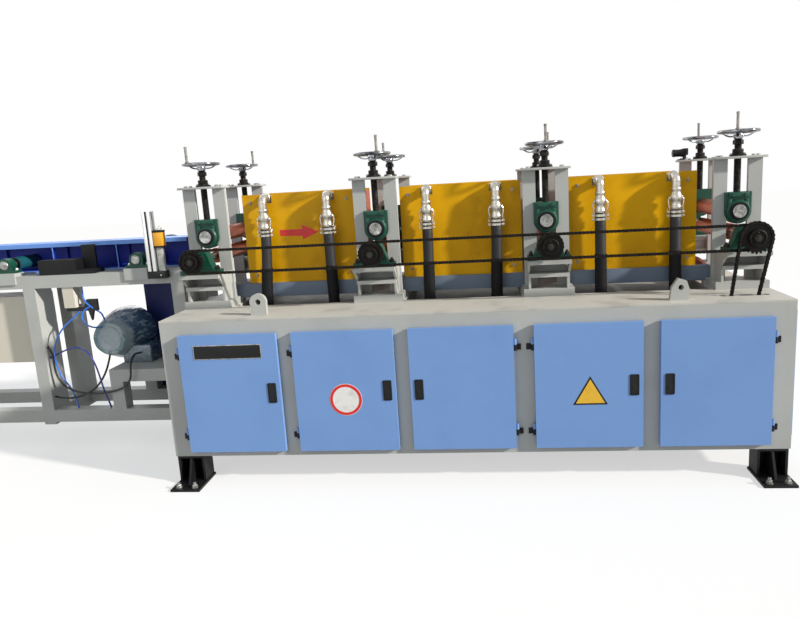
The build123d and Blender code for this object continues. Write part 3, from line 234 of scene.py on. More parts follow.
def add_rod(bm, start, end, radius, finish_index=0, sides=16, edge=0.0):
    """A round bar from one place to another, its ends chamfered by edge."""
    start, end = Vector(start), Vector(end)
    length = (end - start).length
    profile = [(0, 0), (radius - edge, 0), (radius, edge), (radius, length - edge), (radius - edge, length)]
    join(bm, turned(profile + [(0, length)], sides), pose(start, end - start), finish_index)


def add_nut(bm, place, direction, across, height, finish_index=0, turn=0.0):
    """A hexagon nut or bolt head with its outer corners chamfered."""
    radius = across / 2 / math.cos(math.pi / 6)
    profile = [(0, 0), (radius, 0), (radius, height * 0.82), (radius * 0.86, height), (0, height)]
    join(bm, turned(profile, 6), pose(place, direction, turn), finish_index)


def add_bolt(bm, place, direction, across, height, washer, thick, turn=0.0):
    """A round washer against a face, and the hexagon nut or bolt head that presses on it."""
    join(bm, turned([(0, 0), (washer, 0), (washer, thick), (0, thick)], 20), pose(place, direction))
    add_nut(bm, place + thick * Vector(direction), direction, across, height, turn=turn)


def show(name, data):
    """Puts a mesh, a curve, a lamp or a camera into the scene."""
    shown = bpy.data.objects.new(name, data)
    scene.collection.objects.link(shown)
    return shown


def finish(name, bm, looks, body="machine", sharp=35.0):
    """Makes the shape a piece with its finishes, smooth up to an angle, on its body."""
    mesh = bpy.data.meshes.new(name)
    bm.to_mesh(mesh)
    bm.free()
    for look in looks:
        mesh.materials.append(look.material)
    for polygon in mesh.polygons:
        polygon.use_smooth = True
    mesh.set_sharp_from_angle(angle=math.radians(sharp))
    piece = show(name, mesh)
    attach(piece, body)
    return piece


cabinet_feet = [(80.5, 0), (3009.5, 0), (80.5, 1250), (3009.5, 1250)]
bench_feet = [(-130.0, 500), (-1952.5, 500), (-130.0, 954), (-1952.5, 954)]
foot_plate = 12.0
anchor_reach = 77.0
anchor_side = 43.0
anchors = bmesh.new()
for foot_x, face_y in cabinet_feet + bench_feet:
    outward = -1 if face_y in (0, 500) else 1
    for side in (-anchor_side, anchor_side):
        at = spot(foot_x + side, face_y + outward * anchor_reach, foot_plate)
        add_bolt(anchors, at, (0, 0, 1), 0.024, 0.013, 0.017, 0.003, turn=side)
        add_rod(anchors, at + Vector((0, 0, 0.010)), at + Vector((0, 0, 0.028)), 0.008, edge=0.001)
finish("anchor_nuts", anchors, [zinc])

# Doors: folded sheet in light blue. Each has a black flush latch: a cup let into the sheet, a paddle
# that is pressed to open it, and a small lock barrel under the paddle.
door_blue = painted("door blue", "7398CE", "688CC2", 0.38, peel=0.12, coat=0.08)
dress(door_blue, "door_1", "door_2", "door_3", "door_4", "door_5", "end_cover")
latch_black = painted("latch black", "0D0E10", "1B1C1E", 0.35, peel=0.1, coat=0.05, shine=0.25)
latch_places = (570.8, 1160.0, 1318.7, 2354.0, 2518.0)
latch_height = 498
lock_barrel = [(0, 0), (0.0075, 0), (0.0075, 0.010), (0.006, 0.0115), (0.004, 0.0115), (0.004, 0.009),
               (0, 0.009)]


def add_box(bm, low, high, edge=0.0, finish_index=0, matrix=None):
    """A block between two corners, its edges rounded."""
    part = bmesh.new()
    bmesh.ops.create_cube(part, size=1.0)
    low, high = Vector(map(min, low, high)), Vector(map(max, low, high))
    bmesh.ops.scale(part, vec=high - low, verts=part.verts)
    bmesh.ops.translate(part, vec=(low + high) / 2, verts=part.verts)
    if edge:
        bmesh.ops.bevel(part, geom=part.edges[:], offset=edge, segments=2, profile=0.5, affect="EDGES",
                        material=-1)
    join(bm, part, matrix, finish_index)


for number, latch_x in enumerate(latch_places, start=1):
    latch = bmesh.new()
    flange = bmesh.new()
    bmesh.ops.create_cube(flange, size=1.0)
    bmesh.ops.scale(flange, vec=(0.044, 0.104, 0.003), verts=flange.verts)
    bmesh.ops.bevel(flange, geom=[e for e in flange.edges if abs(e.verts[0].co.z - e.verts[1].co.z) > 0.002],
                    offset=0.006, segments=3, profile=0.5, affect="EDGES", material=-1)
    front_face = max(flange.faces, key=lambda f: f.calc_center_median().z)
    bmesh.ops.inset_region(flange, faces=[front_face], thickness=0.005)
    for depth, narrower in ((0.017, 0.93), (0.004, 0.86)):
        pushed = bmesh.ops.extrude_face_region(flange, geom=[front_face])
        moved = [g for g in pushed["geom"] if isinstance(g, bmesh.types.BMVert)]
        new_face = [g for g in pushed["geom"] if isinstance(g, bmesh.types.BMFace)][0]
        bmesh.ops.delete(flange, geom=[front_face], context="FACES_ONLY")
        bmesh.ops.translate(flange, vec=(0, 0, -depth), verts=moved)
        bmesh.ops.scale(flange, vec=(narrower, narrower, 1), verts=moved)
        front_face = new_face
    join(latch, flange, pose(spot(latch_x, -31.5, latch_height), (0, -1, 0)))
    tilt = Matrix.Rotation(math.radians(-9), 4, "X")
    paddle = Matrix.Translation(spot(latch_x, -25, latch_height + 7)) @ tilt
    add_box(latch, (-0.012, -0.004, -0.034), (0.012, 0.004, 0.034), 0.002, matrix=paddle)
    join(latch, turned(lock_barrel, 20), pose(spot(latch_x, -15, latch_height - 35), (0, -1, 0)), 1)
    finish(f"latch_{number}", latch, [latch_black, zinc], f"door_{number}")

# Signs on the doors: a bare black plate, a white disc with a red ring, and a yellow triangle with a
# black rim. They are thin printed plates stuck on the paint.
print_white = Look("print white", "E4E4E0", 0.35, coat=0.3)
print_red = Look("print red", "D61E1A", 0.4, coat=0.05)
print_yellow = Look("print yellow", "E2B222", 0.35, coat=0.3)
for look, worn in ((print_white, "C9C8C2"), (print_red, "B81F1C"), (print_yellow, "CFA01B")):
    look.cloud(look.between(look.noise(26.0, 5.0), 0.45, 0.8), look.colour, worn)
name_plate = bmesh.new()
add_box(name_plate, spot(180, -32, 681), spot(535, -30, 755), 0.0008)
add_box(name_plate, spot(184, -32.6, 685), spot(531, -31.5, 751), 0.0004, 1)
finish("name_plate", name_plate, [zinc, latch_black], "door_1")
disc = bmesh.new()
disc_place = pose(spot(947, -30, 454), (0, -1, 0))
join(disc, turned([(0, 0), (0.083, 0), (0.083, 0.0008), (0, 0.0008)], 64), disc_place)
join(disc, turned([(0.067, 0), (0.081, 0), (0.081, 0.0014), (0.067, 0.0014), (0.067, 0)], 64), disc_place, 1)
finish("round_sign", disc, [print_white, print_red], "door_2")
triangle = bmesh.new()
for radius, thick, index in ((0.095, 0.0008, 0), (0.080, 0.0014, 1)):
    join(triangle, turned([(0, 0), (radius, 0), (radius, thick), (0, thick)], 3),
         pose(spot(2147, -30, 450), (0, -1, 0), math.radians(90)), index)
finish("triangle_sign", triangle, [latch_black, print_yellow], "door_4")

# Rolls: copper bodies with steel shoulders on ground shafts, and black oiled sprockets at the door side.
# One finish covers a whole roll, told apart by place along the axis and by distance from it.
stations = (131.0, 1084.0, 1991.0, 2957.0)
lower_axis = 1155.0
upper_axis = 1268.0


def roll_finish(name, axis):
    """Copper inside the rolling length, steel on the shaft, and black oil on the sprockets."""
    look = Look(name, "B9663B", 0.35, metal=1.0)
    across = look.along("X") - axis.x
    above = look.along("Z") - axis.z
    radius_squared = across * across + above * above
    y = look.along("Y")
    copper = look.between(radius_squared, 0.00068, 0.00072) * look.between(y, -0.14, -0.139)
    oily = 1 - look.between(y, -0.400, -0.399)
    worn = look.noise(14.0, 3.0)
    steel = look.mix(worn, "A9A7A2", "8A8781")
    bare = look.mix(worn, "C1663A", "9A4A28")
    black = look.mix(worn, "1E1C1A", "121110")
    look.put("Base Color", look.mix(oily, look.mix(copper, steel, bare), black))
    look.put("Metallic", 1.0 - oily * 0.1)
    look.put("Roughness", 0.30 + oily * 0.15 + worn * 0.10)
    return look


for number, station in enumerate(stations, start=1):
    dress(roll_finish(f"lower roll {number}", spot(station, 0, lower_axis)), f"lower_roll_{number}")
    dress(roll_finish(f"upper roll {number}", spot(station, 0, upper_axis)), f"upper_roll_{number}")

# Sprocket hubs: blackened steel collars with a groove turned into the face. A washer with its bolt holds
# each on the shaft end beside a key, and they turn with the lower rolls.
chain_black = bare_metal("chain black", "24211E", "141210", 0.42, metal=0.9, scale=70.0)
hub_fronts = (156.0, 156.0, 156.0, 131.0)
hub_groove = [(0.027, 0), (0.041, 0), (0.041, 0.004), (0.038, 0.006), (0.033, 0.006), (0.031, 0.002),
              (0.027, 0.002), (0.027, 0)]
shaft_bolt = [(0, 0.0061), (0.017, 0.0061), (0.017, 0.009), (0.009, 0.009), (0.009, 0.013), (0.0075, 0.015),
              (0, 0.015)]
dark_steel = bare_metal("dark steel", "3A3735", "23211F", 0.4, metal=0.7, scale=60.0)
for number, (station, front_y) in enumerate(zip(stations, hub_fronts), start=1):
    hub = bmesh.new()
    place = pose(spot(station, front_y, lower_axis), (0, -1, 0))
    join(hub, turned(hub_groove, 32), place)
    join(hub, turned(shaft_bolt, 6), place, 1)
    add_box(hub, (-0.004, 0.019, 0.0), (0.004, 0.030, 0.005), 0.0006, 1, place)
    finish(f"sprocket_hub_{number}", hub, [chain_black, dark_steel], f"lower_roll_{number}")

# Roller chains of 19.05 mm pitch: outer and inner links in turn, each of two waisted side plates, with
# rollers that sit between the sprocket teeth. They are oiled and nearly black.
pitch = 0.01905


def cut_plate(corners, thick):
    """A flat plate from the corners of its front face, thick towards +Y."""
    plate = bmesh.new()
    face = plate.faces.new([plate.verts.new(corner) for corner in corners])
    raised = bmesh.ops.extrude_face_region(plate, geom=[face])
    back = [g for g in raised["geom"] if isinstance(g, bmesh.types.BMVert)]
    bmesh.ops.translate(plate, vec=(0, thick, 0), verts=back)
    bmesh.ops.recalc_face_normals(plate, faces=plate.faces)
    return plate


def link_mesh(name, inside, thick, pin, proud):
    """One link along X: side plates that far from the middle, and pins that stand proud of a face."""
    bm = bmesh.new()
    outline = []
    for end, angles in ((1, (-70, -25, 25, 70)), (-1, (110, 155, 205, 250))):
        for angle in map(math.radians, angles):
            outline.append((end * pitch / 2 + 0.0078 * math.cos(angle), 0.0078 * math.sin(angle)))
        outline.append((0, end * 0.0056))
    for front in (-inside - thick, inside):
        join(bm, cut_plate([(x, front, z) for x, z in outline], thick))
    half = inside + proud
    for end in (-1, 1):
        bar = bmesh.new()
        bmesh.ops.create_cone(bar, cap_ends=True, segments=8, radius1=pin, radius2=pin, depth=2 * half)
        join(bm, bar, pose((end * pitch / 2, 0, 0), (0, 1, 0)))
    mesh = bpy.data.meshes.new(name)
    bm.to_mesh(mesh)
    bm.free()
    return mesh


inner_link = link_mesh("inner link", 0.0056, 0.0015, 0.0059, 0.0)
outer_link = link_mesh("outer link", 0.0072, 0.0015, 0.0030, 0.0021)


def pins_between(first, last):
    """Even steps of about one pitch on a straight strand, its two ends left out."""
    steps = round((last - first).length / pitch)
    return [first.lerp(last, step / steps) for step in range(1, steps)]


def chain(name, pins):
    """A closed chain through its pins, with inner and outer links in turn."""
    bm = bmesh.new()
    for index, (here, ahead) in enumerate(zip(pins, pins[1:] + pins[:1])):
        run = ahead - here
        turn = Matrix.Rotation(-math.atan2(run.z, run.x), 4, "Y")
        stretch = Matrix.Scale(run.length / pitch, 4, (1, 0, 0))
        place = Matrix.Translation((here + ahead) / 2) @ turn @ stretch
        before = len(bm.verts)
        bm.from_mesh(outer_link if index % 2 else inner_link)
        bm.verts.ensure_lookup_table()
        bmesh.ops.transform(bm, matrix=place, verts=bm.verts[before:])
    finish(name, bm, [chain_black], "machine", 40.0)


def round_sprocket(centre, radius, teeth, first, last):
    """Pins in the tooth gaps of a sprocket, from one gap's number to another's, anticlockwise from +X."""
    step = math.tau / teeth
    return [centre + radius * Vector((math.cos((gap + 0.5) * step), 0, math.sin((gap + 0.5) * step)))
            for gap in range(first, last + 1)]


sprocket_radius = 0.0609
strands = zip(stations, stations[1:], (170, 195, 170))
for number, (left_x, right_x, row) in enumerate(strands, start=1):
    left_pins = round_sprocket(spot(left_x, row, lower_axis), sprocket_radius, 20, 5, 14)
    right_pins = round_sprocket(spot(right_x, row, lower_axis), sprocket_radius, 20, -5, 4)
    upper_pins = pins_between(right_pins[-1], left_pins[0])
    lower_pins = pins_between(left_pins[-1], right_pins[0])
    chain(f"chain_{number}", left_pins + lower_pins + right_pins + upper_pins)
wheel_pins = round_sprocket(spot(stations[-1], 145, lower_axis), 0.07298, 24, -1, 11)
pinion_pins = round_sprocket(spot(2862, 145, 595), 0.05184, 17, 8, 16)
down_pins = pins_between(wheel_pins[-1], pinion_pins[0])
back_pins = pins_between(pinion_pins[-1], wheel_pins[0])
if (len(wheel_pins) + len(pinion_pins) + len(down_pins) + len(back_pins)) % 2:
    steps = len(back_pins) + 2
    back_pins = [pinion_pins[-1].lerp(wheel_pins[0], step / steps) for step in range(1, steps)]
chain("drive_links", wheel_pins + down_pins + pinion_pins + back_pins)
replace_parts(bpy.data.objects["chain_1"], "station_chains")
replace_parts(bpy.data.objects["drive_links"], "drive_chain")

# Pillow blocks: green cast iron with a dark steel seal ring round the shaft at both faces. Each stands on
# two base bolts and has a grease nipple on the shoulder.
casting_green = painted("casting green", "0A4737", "0D2E25", 0.40, peel=0.6, coat=0.1)
dress(casting_green, "pillow_blocks", "bench_pillows")
bearing_rows = (285.0, 1170.0)
base_bolt_x = 92
seal_ring = [(0.026, 0), (0.033, 0), (0.033, 0.003), (0.030, 0.005), (0.026, 0.005), (0.026, 0)]
block_parts = bmesh.new()
for station in stations:
    for middle_y in bearing_rows:
        for face in (-1, 1):
            ring = pose(spot(station, middle_y + face * 39, lower_axis), (0, face, 0))
            join(block_parts, turned(seal_ring, 32), ring)
        for side in (-1, 1):
            at = spot(station + side * base_bolt_x, middle_y, 1100)
            add_bolt(block_parts, at, (0, 0, 1), 0.022, 0.012, 0.015, 0.0025, turn=station + side)
            add_rod(block_parts, at + Vector((0, 0, 0.012)), at + Vector((0, 0, 0.023)), 0.007, edge=0.001)
        nipple = spot(station + 27, middle_y, lower_axis + 48)
        add_nut(block_parts, nipple, (0.45, 0, 1), 0.008, 0.006)
        add_rod(block_parts, nipple, nipple + Vector((0.006, 0, 0.0135)), 0.0028, sides=10, edge=0.001)
finish("pillow_block_bolts", block_parts, [dark_steel])

# Take-up housings: green castings that slide between the posts. A bolted block at the top traps the
# screw's end, ears stand at each side of the bearing barrel, and a bright pressed cap closes its bore.
cap_bright = bare_metal("cap bright", "A8A9A5", "6E6E69", 0.26, metal=0.95, scale=60.0)
cap_bright.bump(cap_bright.noise(300.0, 2.0), 0.4, 0.0006)
barrel_ring = [(0.046, 0), (0.0585, 0), (0.0585, 0.008), (0.052, 0.016), (0.046, 0.016), (0.046, 0)]
bore_cap = [(0, 0.0263), (0.027, 0.0263), (0.0305, 0.0275), (0.0335, 0.0268), (0.0335, 0.0255), (0, 0.0255)]
black_recess = [(0.0335, 0.0264), (0.0367, 0.0262), (0.0367, 0.0207), (0.047, 0.0207), (0.047, 0.0200),
                (0.0335, 0.0200), (0.0335, 0.0264)]
cap_boss = [(0, 0.0262), (0.006, 0.0262), (0.006, 0.0280), (0.004, 0.0286), (0, 0.0286)]
for number, station in enumerate(stations, start=1):
    dress(casting_green, f"carriage_{number}")
    extras = bmesh.new()
    for face_y, outward in ((398.0, -1), (1057.0, 1)):
        def at(x, forward, z):
            return spot(station + x, face_y + outward * forward, z)

        add_box(extras, at(-50, 0, 1338), at(50, 11, 1363), 0.003)
        barrel = pose(at(0, 0, upper_axis), (0, outward, 0))
        join(extras, turned(barrel_ring, 40), barrel)
        for side in (-1, 1):
            add_box(extras, at(side * 42 - 9, 0, 1236), at(side * 42 + 9, 9, 1330), 0.003)
            add_nut(extras, at(side * 31, 11, 1350), (0, outward, 0), 0.016, 0.008, 0, side * 0.4)
        join(extras, turned(bore_cap, 48), barrel, 2)
        join(extras, turned(black_recess, 48), barrel, 3)
        join(extras, turned(cap_boss, 20), barrel, 1)
        add_rod(extras, at(38, 6, 1302), at(44, 12, 1308), 0.003, 1, 10, 0.0008)
    finish(f"housing_{number}", extras, [casting_green, zinc, cap_bright, black_paint], f"carriage_{number}")

# Take-up screws: a black screw with a 6 mm thread, and on it a dished chrome handwheel with three
# arms and a bare steel rod for a handle.
# The chrome's colour runs at random between bright and near black: painted reflections, not stains.
chrome = bare_metal("chrome", "A2A4A8", "14161A", 0.10, metal=1.0, scale=15.0)
handle_steel = bare_metal("handle steel", "8E8B85", "5F5C56", 0.35, scale=50.0)
screw_black = bare_metal("screw black", "1E1C1B", "3B3733", 0.35, metal=0.7, scale=60.0)
thread = (screw_black.along("Z") * (math.tau / 0.006)).wave()
screw_black.bump(thread, 1.0, 0.0012)
stand_rows = (424.0, 1031.0)
rim_radius = 0.0925
handle_angles = ((-115.0, -65.0, -90.0, -112.0), (60.0, 120.0, 35.0, 80.0))
screw_line = [(0, 1.3261), (0.0155, 1.3261), (0.017, 1.3285), (0.017, 1.626), (0, 1.626)]
boss_line = [(0, 1.6255), (0.0165, 1.6255), (0.0215, 1.630), (0.0235, 1.640), (0.0225, 1.652),
             (0.0175, 1.659), (0.0135, 1.6605), (0, 1.6605)]
handle_foot = [(0, 1.670), (0.011, 1.670), (0.011, 1.676), (0.0085, 1.679), (0, 1.679)]
handle_end = [(0, 1.7475), (0.0082, 1.7475), (0.0082, 1.7545), (0.006, 1.757), (0, 1.757)]


def hoop(radius, thick, sides, steps):
    """A closed ring of round bar about Z."""
    part = bmesh.new()
    bmesh.ops.create_circle(part, cap_ends=False, segments=sides, radius=thick)
    bmesh.ops.rotate(part, cent=(0, 0, 0), matrix=Matrix.Rotation(math.pi / 2, 3, "X"), verts=part.verts)
    bmesh.ops.translate(part, vec=(radius, 0, 0), verts=part.verts)
    bmesh.ops.spin(part, geom=part.verts[:] + part.edges[:], axis=(0, 0, 1), cent=(0, 0, 0), angle=math.tau,
                   steps=steps, use_merge=True)
    bmesh.ops.remove_doubles(part, verts=part.verts, dist=1e-6)
    bmesh.ops.recalc_face_normals(part, faces=part.faces)
    return part


for row_name, row_y, angles in zip(("front", "rear"), stand_rows, handle_angles):
    for number, (station, angle) in enumerate(zip(stations, angles), start=1):
        wheel = bmesh.new()
        foot = spot(station, row_y, 0)
        join(wheel, turned(screw_line, 24), pose(foot), 1)
        join(wheel, turned(boss_line, 32), pose(foot))
        add_nut(wheel, foot + Vector((0, 0, 1.6600)), (0, 0, 1), 0.019, 0.0095, 2)
        add_nut(wheel, foot + Vector((0, 0, 1.6010)), (0, 0, 1), 0.044, 0.0235, 1, station)
        join(wheel, hoop(rim_radius, 0.0088, 14, 56), pose(foot + Vector((0, 0, 1.665))))
        for arm_angle in (angle, angle + 120, angle + 240):
            arm = bmesh.new()
            bmesh.ops.create_cube(arm, size=1.0)
            lengthwise = [e for e in arm.edges if abs(e.verts[0].co.x - e.verts[1].co.x) > 0.5]
            bmesh.ops.subdivide_edges(arm, edges=lengthwise, cuts=8)
            for corner in arm.verts:
                along = corner.co.x + 0.5
                belly = math.sin(along * math.pi)
                corner.co.x = 0.017 + along * 0.0700
                corner.co.y *= 0.022 - 0.009 * belly
                corner.co.z = 1.6445 + corner.co.z * 0.0075 + 0.0195 * along ** 2 - 0.006 * belly
            long_edges = [e for e in arm.edges if abs(e.verts[0].co.x - e.verts[1].co.x) > 0.004]
            bmesh.ops.bevel(arm, geom=long_edges, offset=0.0028, segments=3, profile=0.5, affect="EDGES",
                            material=-1)
            join(wheel, arm, pose(foot, turn=math.radians(arm_angle)))
        grip = foot + Matrix.Rotation(math.radians(angle), 3, "Z") @ Vector((rim_radius, 0, 0))
        add_rod(wheel, grip + Vector((0, 0, 1.672)), grip + Vector((0, 0, 1.757)), 0.0068, 2, 16, 0.0015)
        join(wheel, turned(handle_foot, 20), pose(grip), 2)
        join(wheel, turned(handle_end, 16), pose(grip), 2)
        piece = finish(f"{row_name}_handwheel_{number}", wheel, [chrome, screw_black, handle_steel],
                       f"{row_name}_screw_{number}")
        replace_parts(piece, f"{row_name}_screw_{number}")

# Top plates of the stands: sawn flat bar in the grey paint. A flanged nut takes the screw and four
# hexagon bolts go down into the heads of the posts.
collar = [(0.0178, 0), (0.040, 0), (0.040, 0.009), (0.0285, 0.010), (0.0265, 0.014), (0.0265, 0.033),
          (0.024, 0.0365), (0.0178, 0.0365), (0.0178, 0)]
plates = bmesh.new()
for station in stations:
    for row_y in stand_rows:
        add_box(plates, spot(station - 127.5, row_y - 55, 1531), spot(station + 127.5, row_y + 55, 1543),
                0.0015)
        join(plates, turned(collar, 36), pose(spot(station, row_y, 1543)), 1)
        for side in (-1, 1):
            add_nut(plates, spot(station + side * 33, row_y, 1552), (0, 0, 1), 0.011, 0.007, 2, side)
            for depth in (-30, 30):
                at = spot(station + side * 88, row_y + depth, 1543)
                add_nut(plates, at, (0, 0, 1), 0.017, 0.008, 2, depth)
finish("top_plates", plates, [grey_paint, screw_black, zinc])
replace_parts(bpy.data.objects["top_plates"], "stand_top_plates")

# Shelf nuts: zinc-plated hexagon nuts under the shelves of the stands, where the bolts of the pillow blocks
# come through.
shelf_nuts = bmesh.new()
for station in stations:
    for middle_y in bearing_rows:
        for side in (-1, 1):
            at = spot(station + side * base_bolt_x, middle_y, 1056)
            add_nut(shelf_nuts, at, (0, 0, -1), 0.022, 0.012, turn=side)
finish("shelf_nuts", shelf_nuts, [zinc])

# Rails under the inductor boxes: channel folded from sheet, in a greyer blue paint. They lie on pads
# beside the stands, span the trays of the deck and carry the boxes.
rail_paint = painted("rail paint", "6C7A8C", "566273", 0.45)
dress(rail_paint, "box_rails")

# Inductor boxes: glass-fibre panels with a yellow gel coat, held by a bolt near each corner. The first
# front panel has a red arrow that shows which way the bars run.
panel_yellow = Look("panel yellow", "DDA008", 0.42, shine=0.15)
panel_cloud = panel_yellow.between(panel_yellow.noise(2.2, 6.0), 0.40, 0.72)
panel_stain = panel_yellow.between(panel_yellow.noise(9.0, 4.0), 0.55, 0.75)
panel_yellow.cloud(panel_cloud * 0.55 + panel_stain * 0.3, "DDA606", "B07C04")
panel_yellow.put("Roughness", 0.28 + panel_yellow.noise(5.0) * 0.2)
panel_yellow.bump(panel_yellow.noise(120.0, 2.0), 0.1, 0.0008)
dress(panel_yellow, "box_panels")
box_spans = ((318.0, 958.0), (1210.0, 1865.0), (2117.0, 2778.0))
panel_bolts = bmesh.new()
for start, end in box_spans:
    for bolt_x in (start + 45, end - 45):
        for bolt_z in (1030, 1438):
            for face_y, outward in ((487, -1), (968, 1)):
                at = spot(bolt_x, face_y, bolt_z)
                add_bolt(panel_bolts, at, (0, outward, 0), 0.012, 0.006, 0.009, 0.002, turn=bolt_x)
finish("panel_bolts", panel_bolts, [handle_steel])
arrow = bmesh.new()
arrow_outline = ((520, 1247), (648, 1242), (648, 1222), (744, 1262), (648, 1304), (648, 1281), (520, 1281))
join(arrow, cut_plate([spot(x, 486.2, z) for x, z in arrow_outline], 0.0006))
finish("red_arrow", arrow, [print_red], "machine")

# End boards and the outlet plate: pressed fibre board, red-brown, with a faint grain. The coil blocks
# between the boards are cast in pale refractory cement.
bakelite = Look("bakelite", "B5584A", 0.5)
bakelite.cloud(bakelite.noise(16.0, 6.0), "B4695C", "8C463C")
dress(bakelite, "end_boards", "outlet_plate")
coil_cast = Look("coil cast", "B9B4A6", 0.8)
coil_cast.cloud(coil_cast.noise(30.0, 6.0), "C3BEB0", "8F8B80")
coil_cast.bump(coil_cast.noise(180.0, 4.0), 0.5, 0.001)
dress(coil_cast, "coil_blocks")

# Elbows for water and current: stainless bends with a lever coupling and a pair of bolted clamps on the
# hose, and flanged spigots in the trays.
stainless = bare_metal("stainless", "C6C2B8", "A39E93", 0.24, metal=0.95, scale=34.0)
hose_tops = (455.0, 811.0, 1358.0, 1730.0, 2274.0, 2657.0)
hose_feet = (429.0, 813.0, 1352.0, 1720.0, 2275.0, 2659.0)
hose_y = 430.0
elbow_z = 1461.0
pipe_radius = 0.0222
lever_line = ((29, 1358), (37, 1344), (38, 1322), (33, 1302))
clamp_heights = (1278.5, 1258.5)
pipe_flange = [(0.022, 0), (0.026, 0), (0.028, 0.002), (0.028, 0.010), (0.026, 0.012), (0.022, 0.012),
               (0.022, 0)]
weld_ring = [(0.0210, 1.431), (0.0236, 1.4325), (0.0236, 1.4365), (0.0210, 1.438)]
coupling = [(0, 1.403), (0.0250, 1.403), (0.0270, 1.399), (0.0270, 1.391), (0.0250, 1.387), (0.0240, 1.377),
            (0.0290, 1.367), (0.0315, 1.360), (0.0315, 1.343), (0.0280, 1.337), (0.0255, 1.330),
            (0.0255, 1.312), (0.0290, 1.306), (0.0290, 1.297), (0.0260, 1.291), (0, 1.291)]
clamp_band = [(0.0272, -0.0065), (0.0310, -0.0065), (0.0325, -0.005), (0.0325, 0.005), (0.0310, 0.0065),
              (0.0272, 0.0065), (0.0272, -0.0065)]
spigot = [(0, 0.8152), (0.034, 0.8152), (0.034, 0.822), (0.0325, 0.824), (0.0325, 0.834), (0.031, 0.8365),
          (0, 0.8365)]
fittings = bmesh.new()
for top_x, foot_x in zip(hose_tops, hose_feet):
    def at(x, y, z):
        return spot(top_x + x, hose_y + y, z)

    add_rod(fittings, spot(top_x, 499, elbow_z), spot(top_x, 456, elbow_z), pipe_radius, sides=32)
    join(fittings, turned(pipe_flange, 32), pose(spot(top_x, 487, elbow_z), (0, -1, 0)))
    bend = bmesh.new()
    bmesh.ops.create_circle(bend, cap_ends=False, segments=32, radius=pipe_radius)
    bmesh.ops.rotate(bend, cent=(0, 0, 0), matrix=Matrix.Rotation(math.pi / 2, 3, "X"), verts=bend.verts)
    bmesh.ops.translate(bend, vec=(0, 0, 0.027), verts=bend.verts)
    bmesh.ops.spin(bend, geom=bend.verts[:] + bend.edges[:], axis=(1, 0, 0), cent=(0, 0, 0),
                   angle=math.pi / 2, steps=12)
    bmesh.ops.recalc_face_normals(bend, faces=bend.faces)
    join(fittings, bend, Matrix.Translation(spot(top_x, 457, 1434)))
    add_rod(fittings, at(0, 0, 1395), at(0, 0, 1435), pipe_radius, sides=32)
    join(fittings, turned(weld_ring, 32), pose(at(0, 0, 0)))
    join(fittings, turned(coupling, 40), pose(at(0, 0, 0)))
    for side in (-1, 1):
        lever = [at(side * x, -6, z) for x, z in lever_line]
        for start, end in zip(lever, lever[1:]):
            add_rod(fittings, start, end, 0.0042, sides=10, edge=0.001)
        add_rod(fittings, at(side * 30, -14, 1351), at(side * 30, 6, 1351), 0.0055, sides=12, edge=0.001)
        join(fittings, hoop(0.0085, 0.0015, 8, 20), pose(at(side * 36, -6, 1294), (side, -0.5, 0)))
    for clamp_z in clamp_heights:
        join(fittings, turned(clamp_band, 40), pose(at(0, 0, clamp_z)))
        for side in (-1, 1):
            for near_y, far_y in ((-9, -4), (4, 9)):
                add_box(fittings, at(side * 30, near_y, clamp_z - 6), at(side * 43, far_y, clamp_z + 6),
                        0.001)
            bolt_x = side * 37.5
            add_rod(fittings, at(bolt_x, -16, clamp_z), at(bolt_x, 14, clamp_z), 0.003, sides=10, edge=0.0005)
            add_nut(fittings, at(bolt_x, -9, clamp_z), (0, -1, 0), 0.010, 0.005)
    join(fittings, turned(spigot, 40), pose(spot(foot_x, hose_y, 0)))
elbows = finish("elbow_fittings", fittings, [stainless])
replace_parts(elbows, "hose_fittings")

# Hoses: ribbed dark grey rubber from the clamps down, and a thicker black woven sleeve over the lower
# half, a little slack, with a bound hem at its top.
hose_rubber = Look("hose rubber", "2C2C2E", 0.55, shine=0.3)
hose_rubber.cloud(hose_rubber.noise(9.0, 5.0), "343435", "1E1E20")
hose_rubber.bump((hose_rubber.along("Z") * 1250.0).wave(), 0.35, 0.0008)
sleeve_black = Look("sleeve black", "0E0E10", 0.7, shine=0.2)
sleeve_black.cloud(sleeve_black.noise(18.0, 5.0), "0B0B0C", "18181A")
sleeve_black.bump(sleeve_black.noise(420.0, 2.0), 0.6, 0.0012)
hoses = bmesh.new()
for top_x, foot_x in zip(hose_tops, hose_feet):
    lean = (foot_x - top_x) / 1000
    ribs = [(0.0285, 1.246 - step * 0.0195) for step in range(10)]
    rubber = turned([(0, 1.289), (0.0268, 1.289), (0.0268, 1.250)] + ribs + [(0, 1.0705)], 32)
    slack = [(0, 1.0745), (0.0310, 1.0745), (0.0325, 1.071), (0.0325, 1.064), (0.0312, 1.061)]
    slack += [(0.0312 + 0.0008 * math.sin(step * 2.1 + top_x), 1.055 - step * 0.0156) for step in range(14)]
    slack += [(0.0310, 0.8366), (0, 0.8366)]
    sleeve = turned(slack, 32)
    for part, index in ((rubber, 0), (sleeve, 1)):
        for vert in part.verts:
            fall = min(max((1.26 - vert.co.z) / (1.26 - 0.84), 0), 1)
            vert.co.x += lean * fall * fall * (3 - 2 * fall)
        bmesh.ops.recalc_face_normals(part, faces=part.faces)
        join(hoses, part, pose(spot(top_x, hose_y, 0)), index)
hose_piece = finish("rubber_hoses", hoses, [hose_rubber, sleeve_black], "machine", 60.0)
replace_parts(hose_piece, "hoses")

# Drive motor at the right end of the cabinet: a cast gearmotor in blue-grey enamel on a welded stand. The
# chain from its pinion goes up through a slot in the deck.
motor_paint = painted("motor paint", "5F7C96", "4A6379", 0.35, coat=0.3)
dress(motor_paint, "drive_motor")

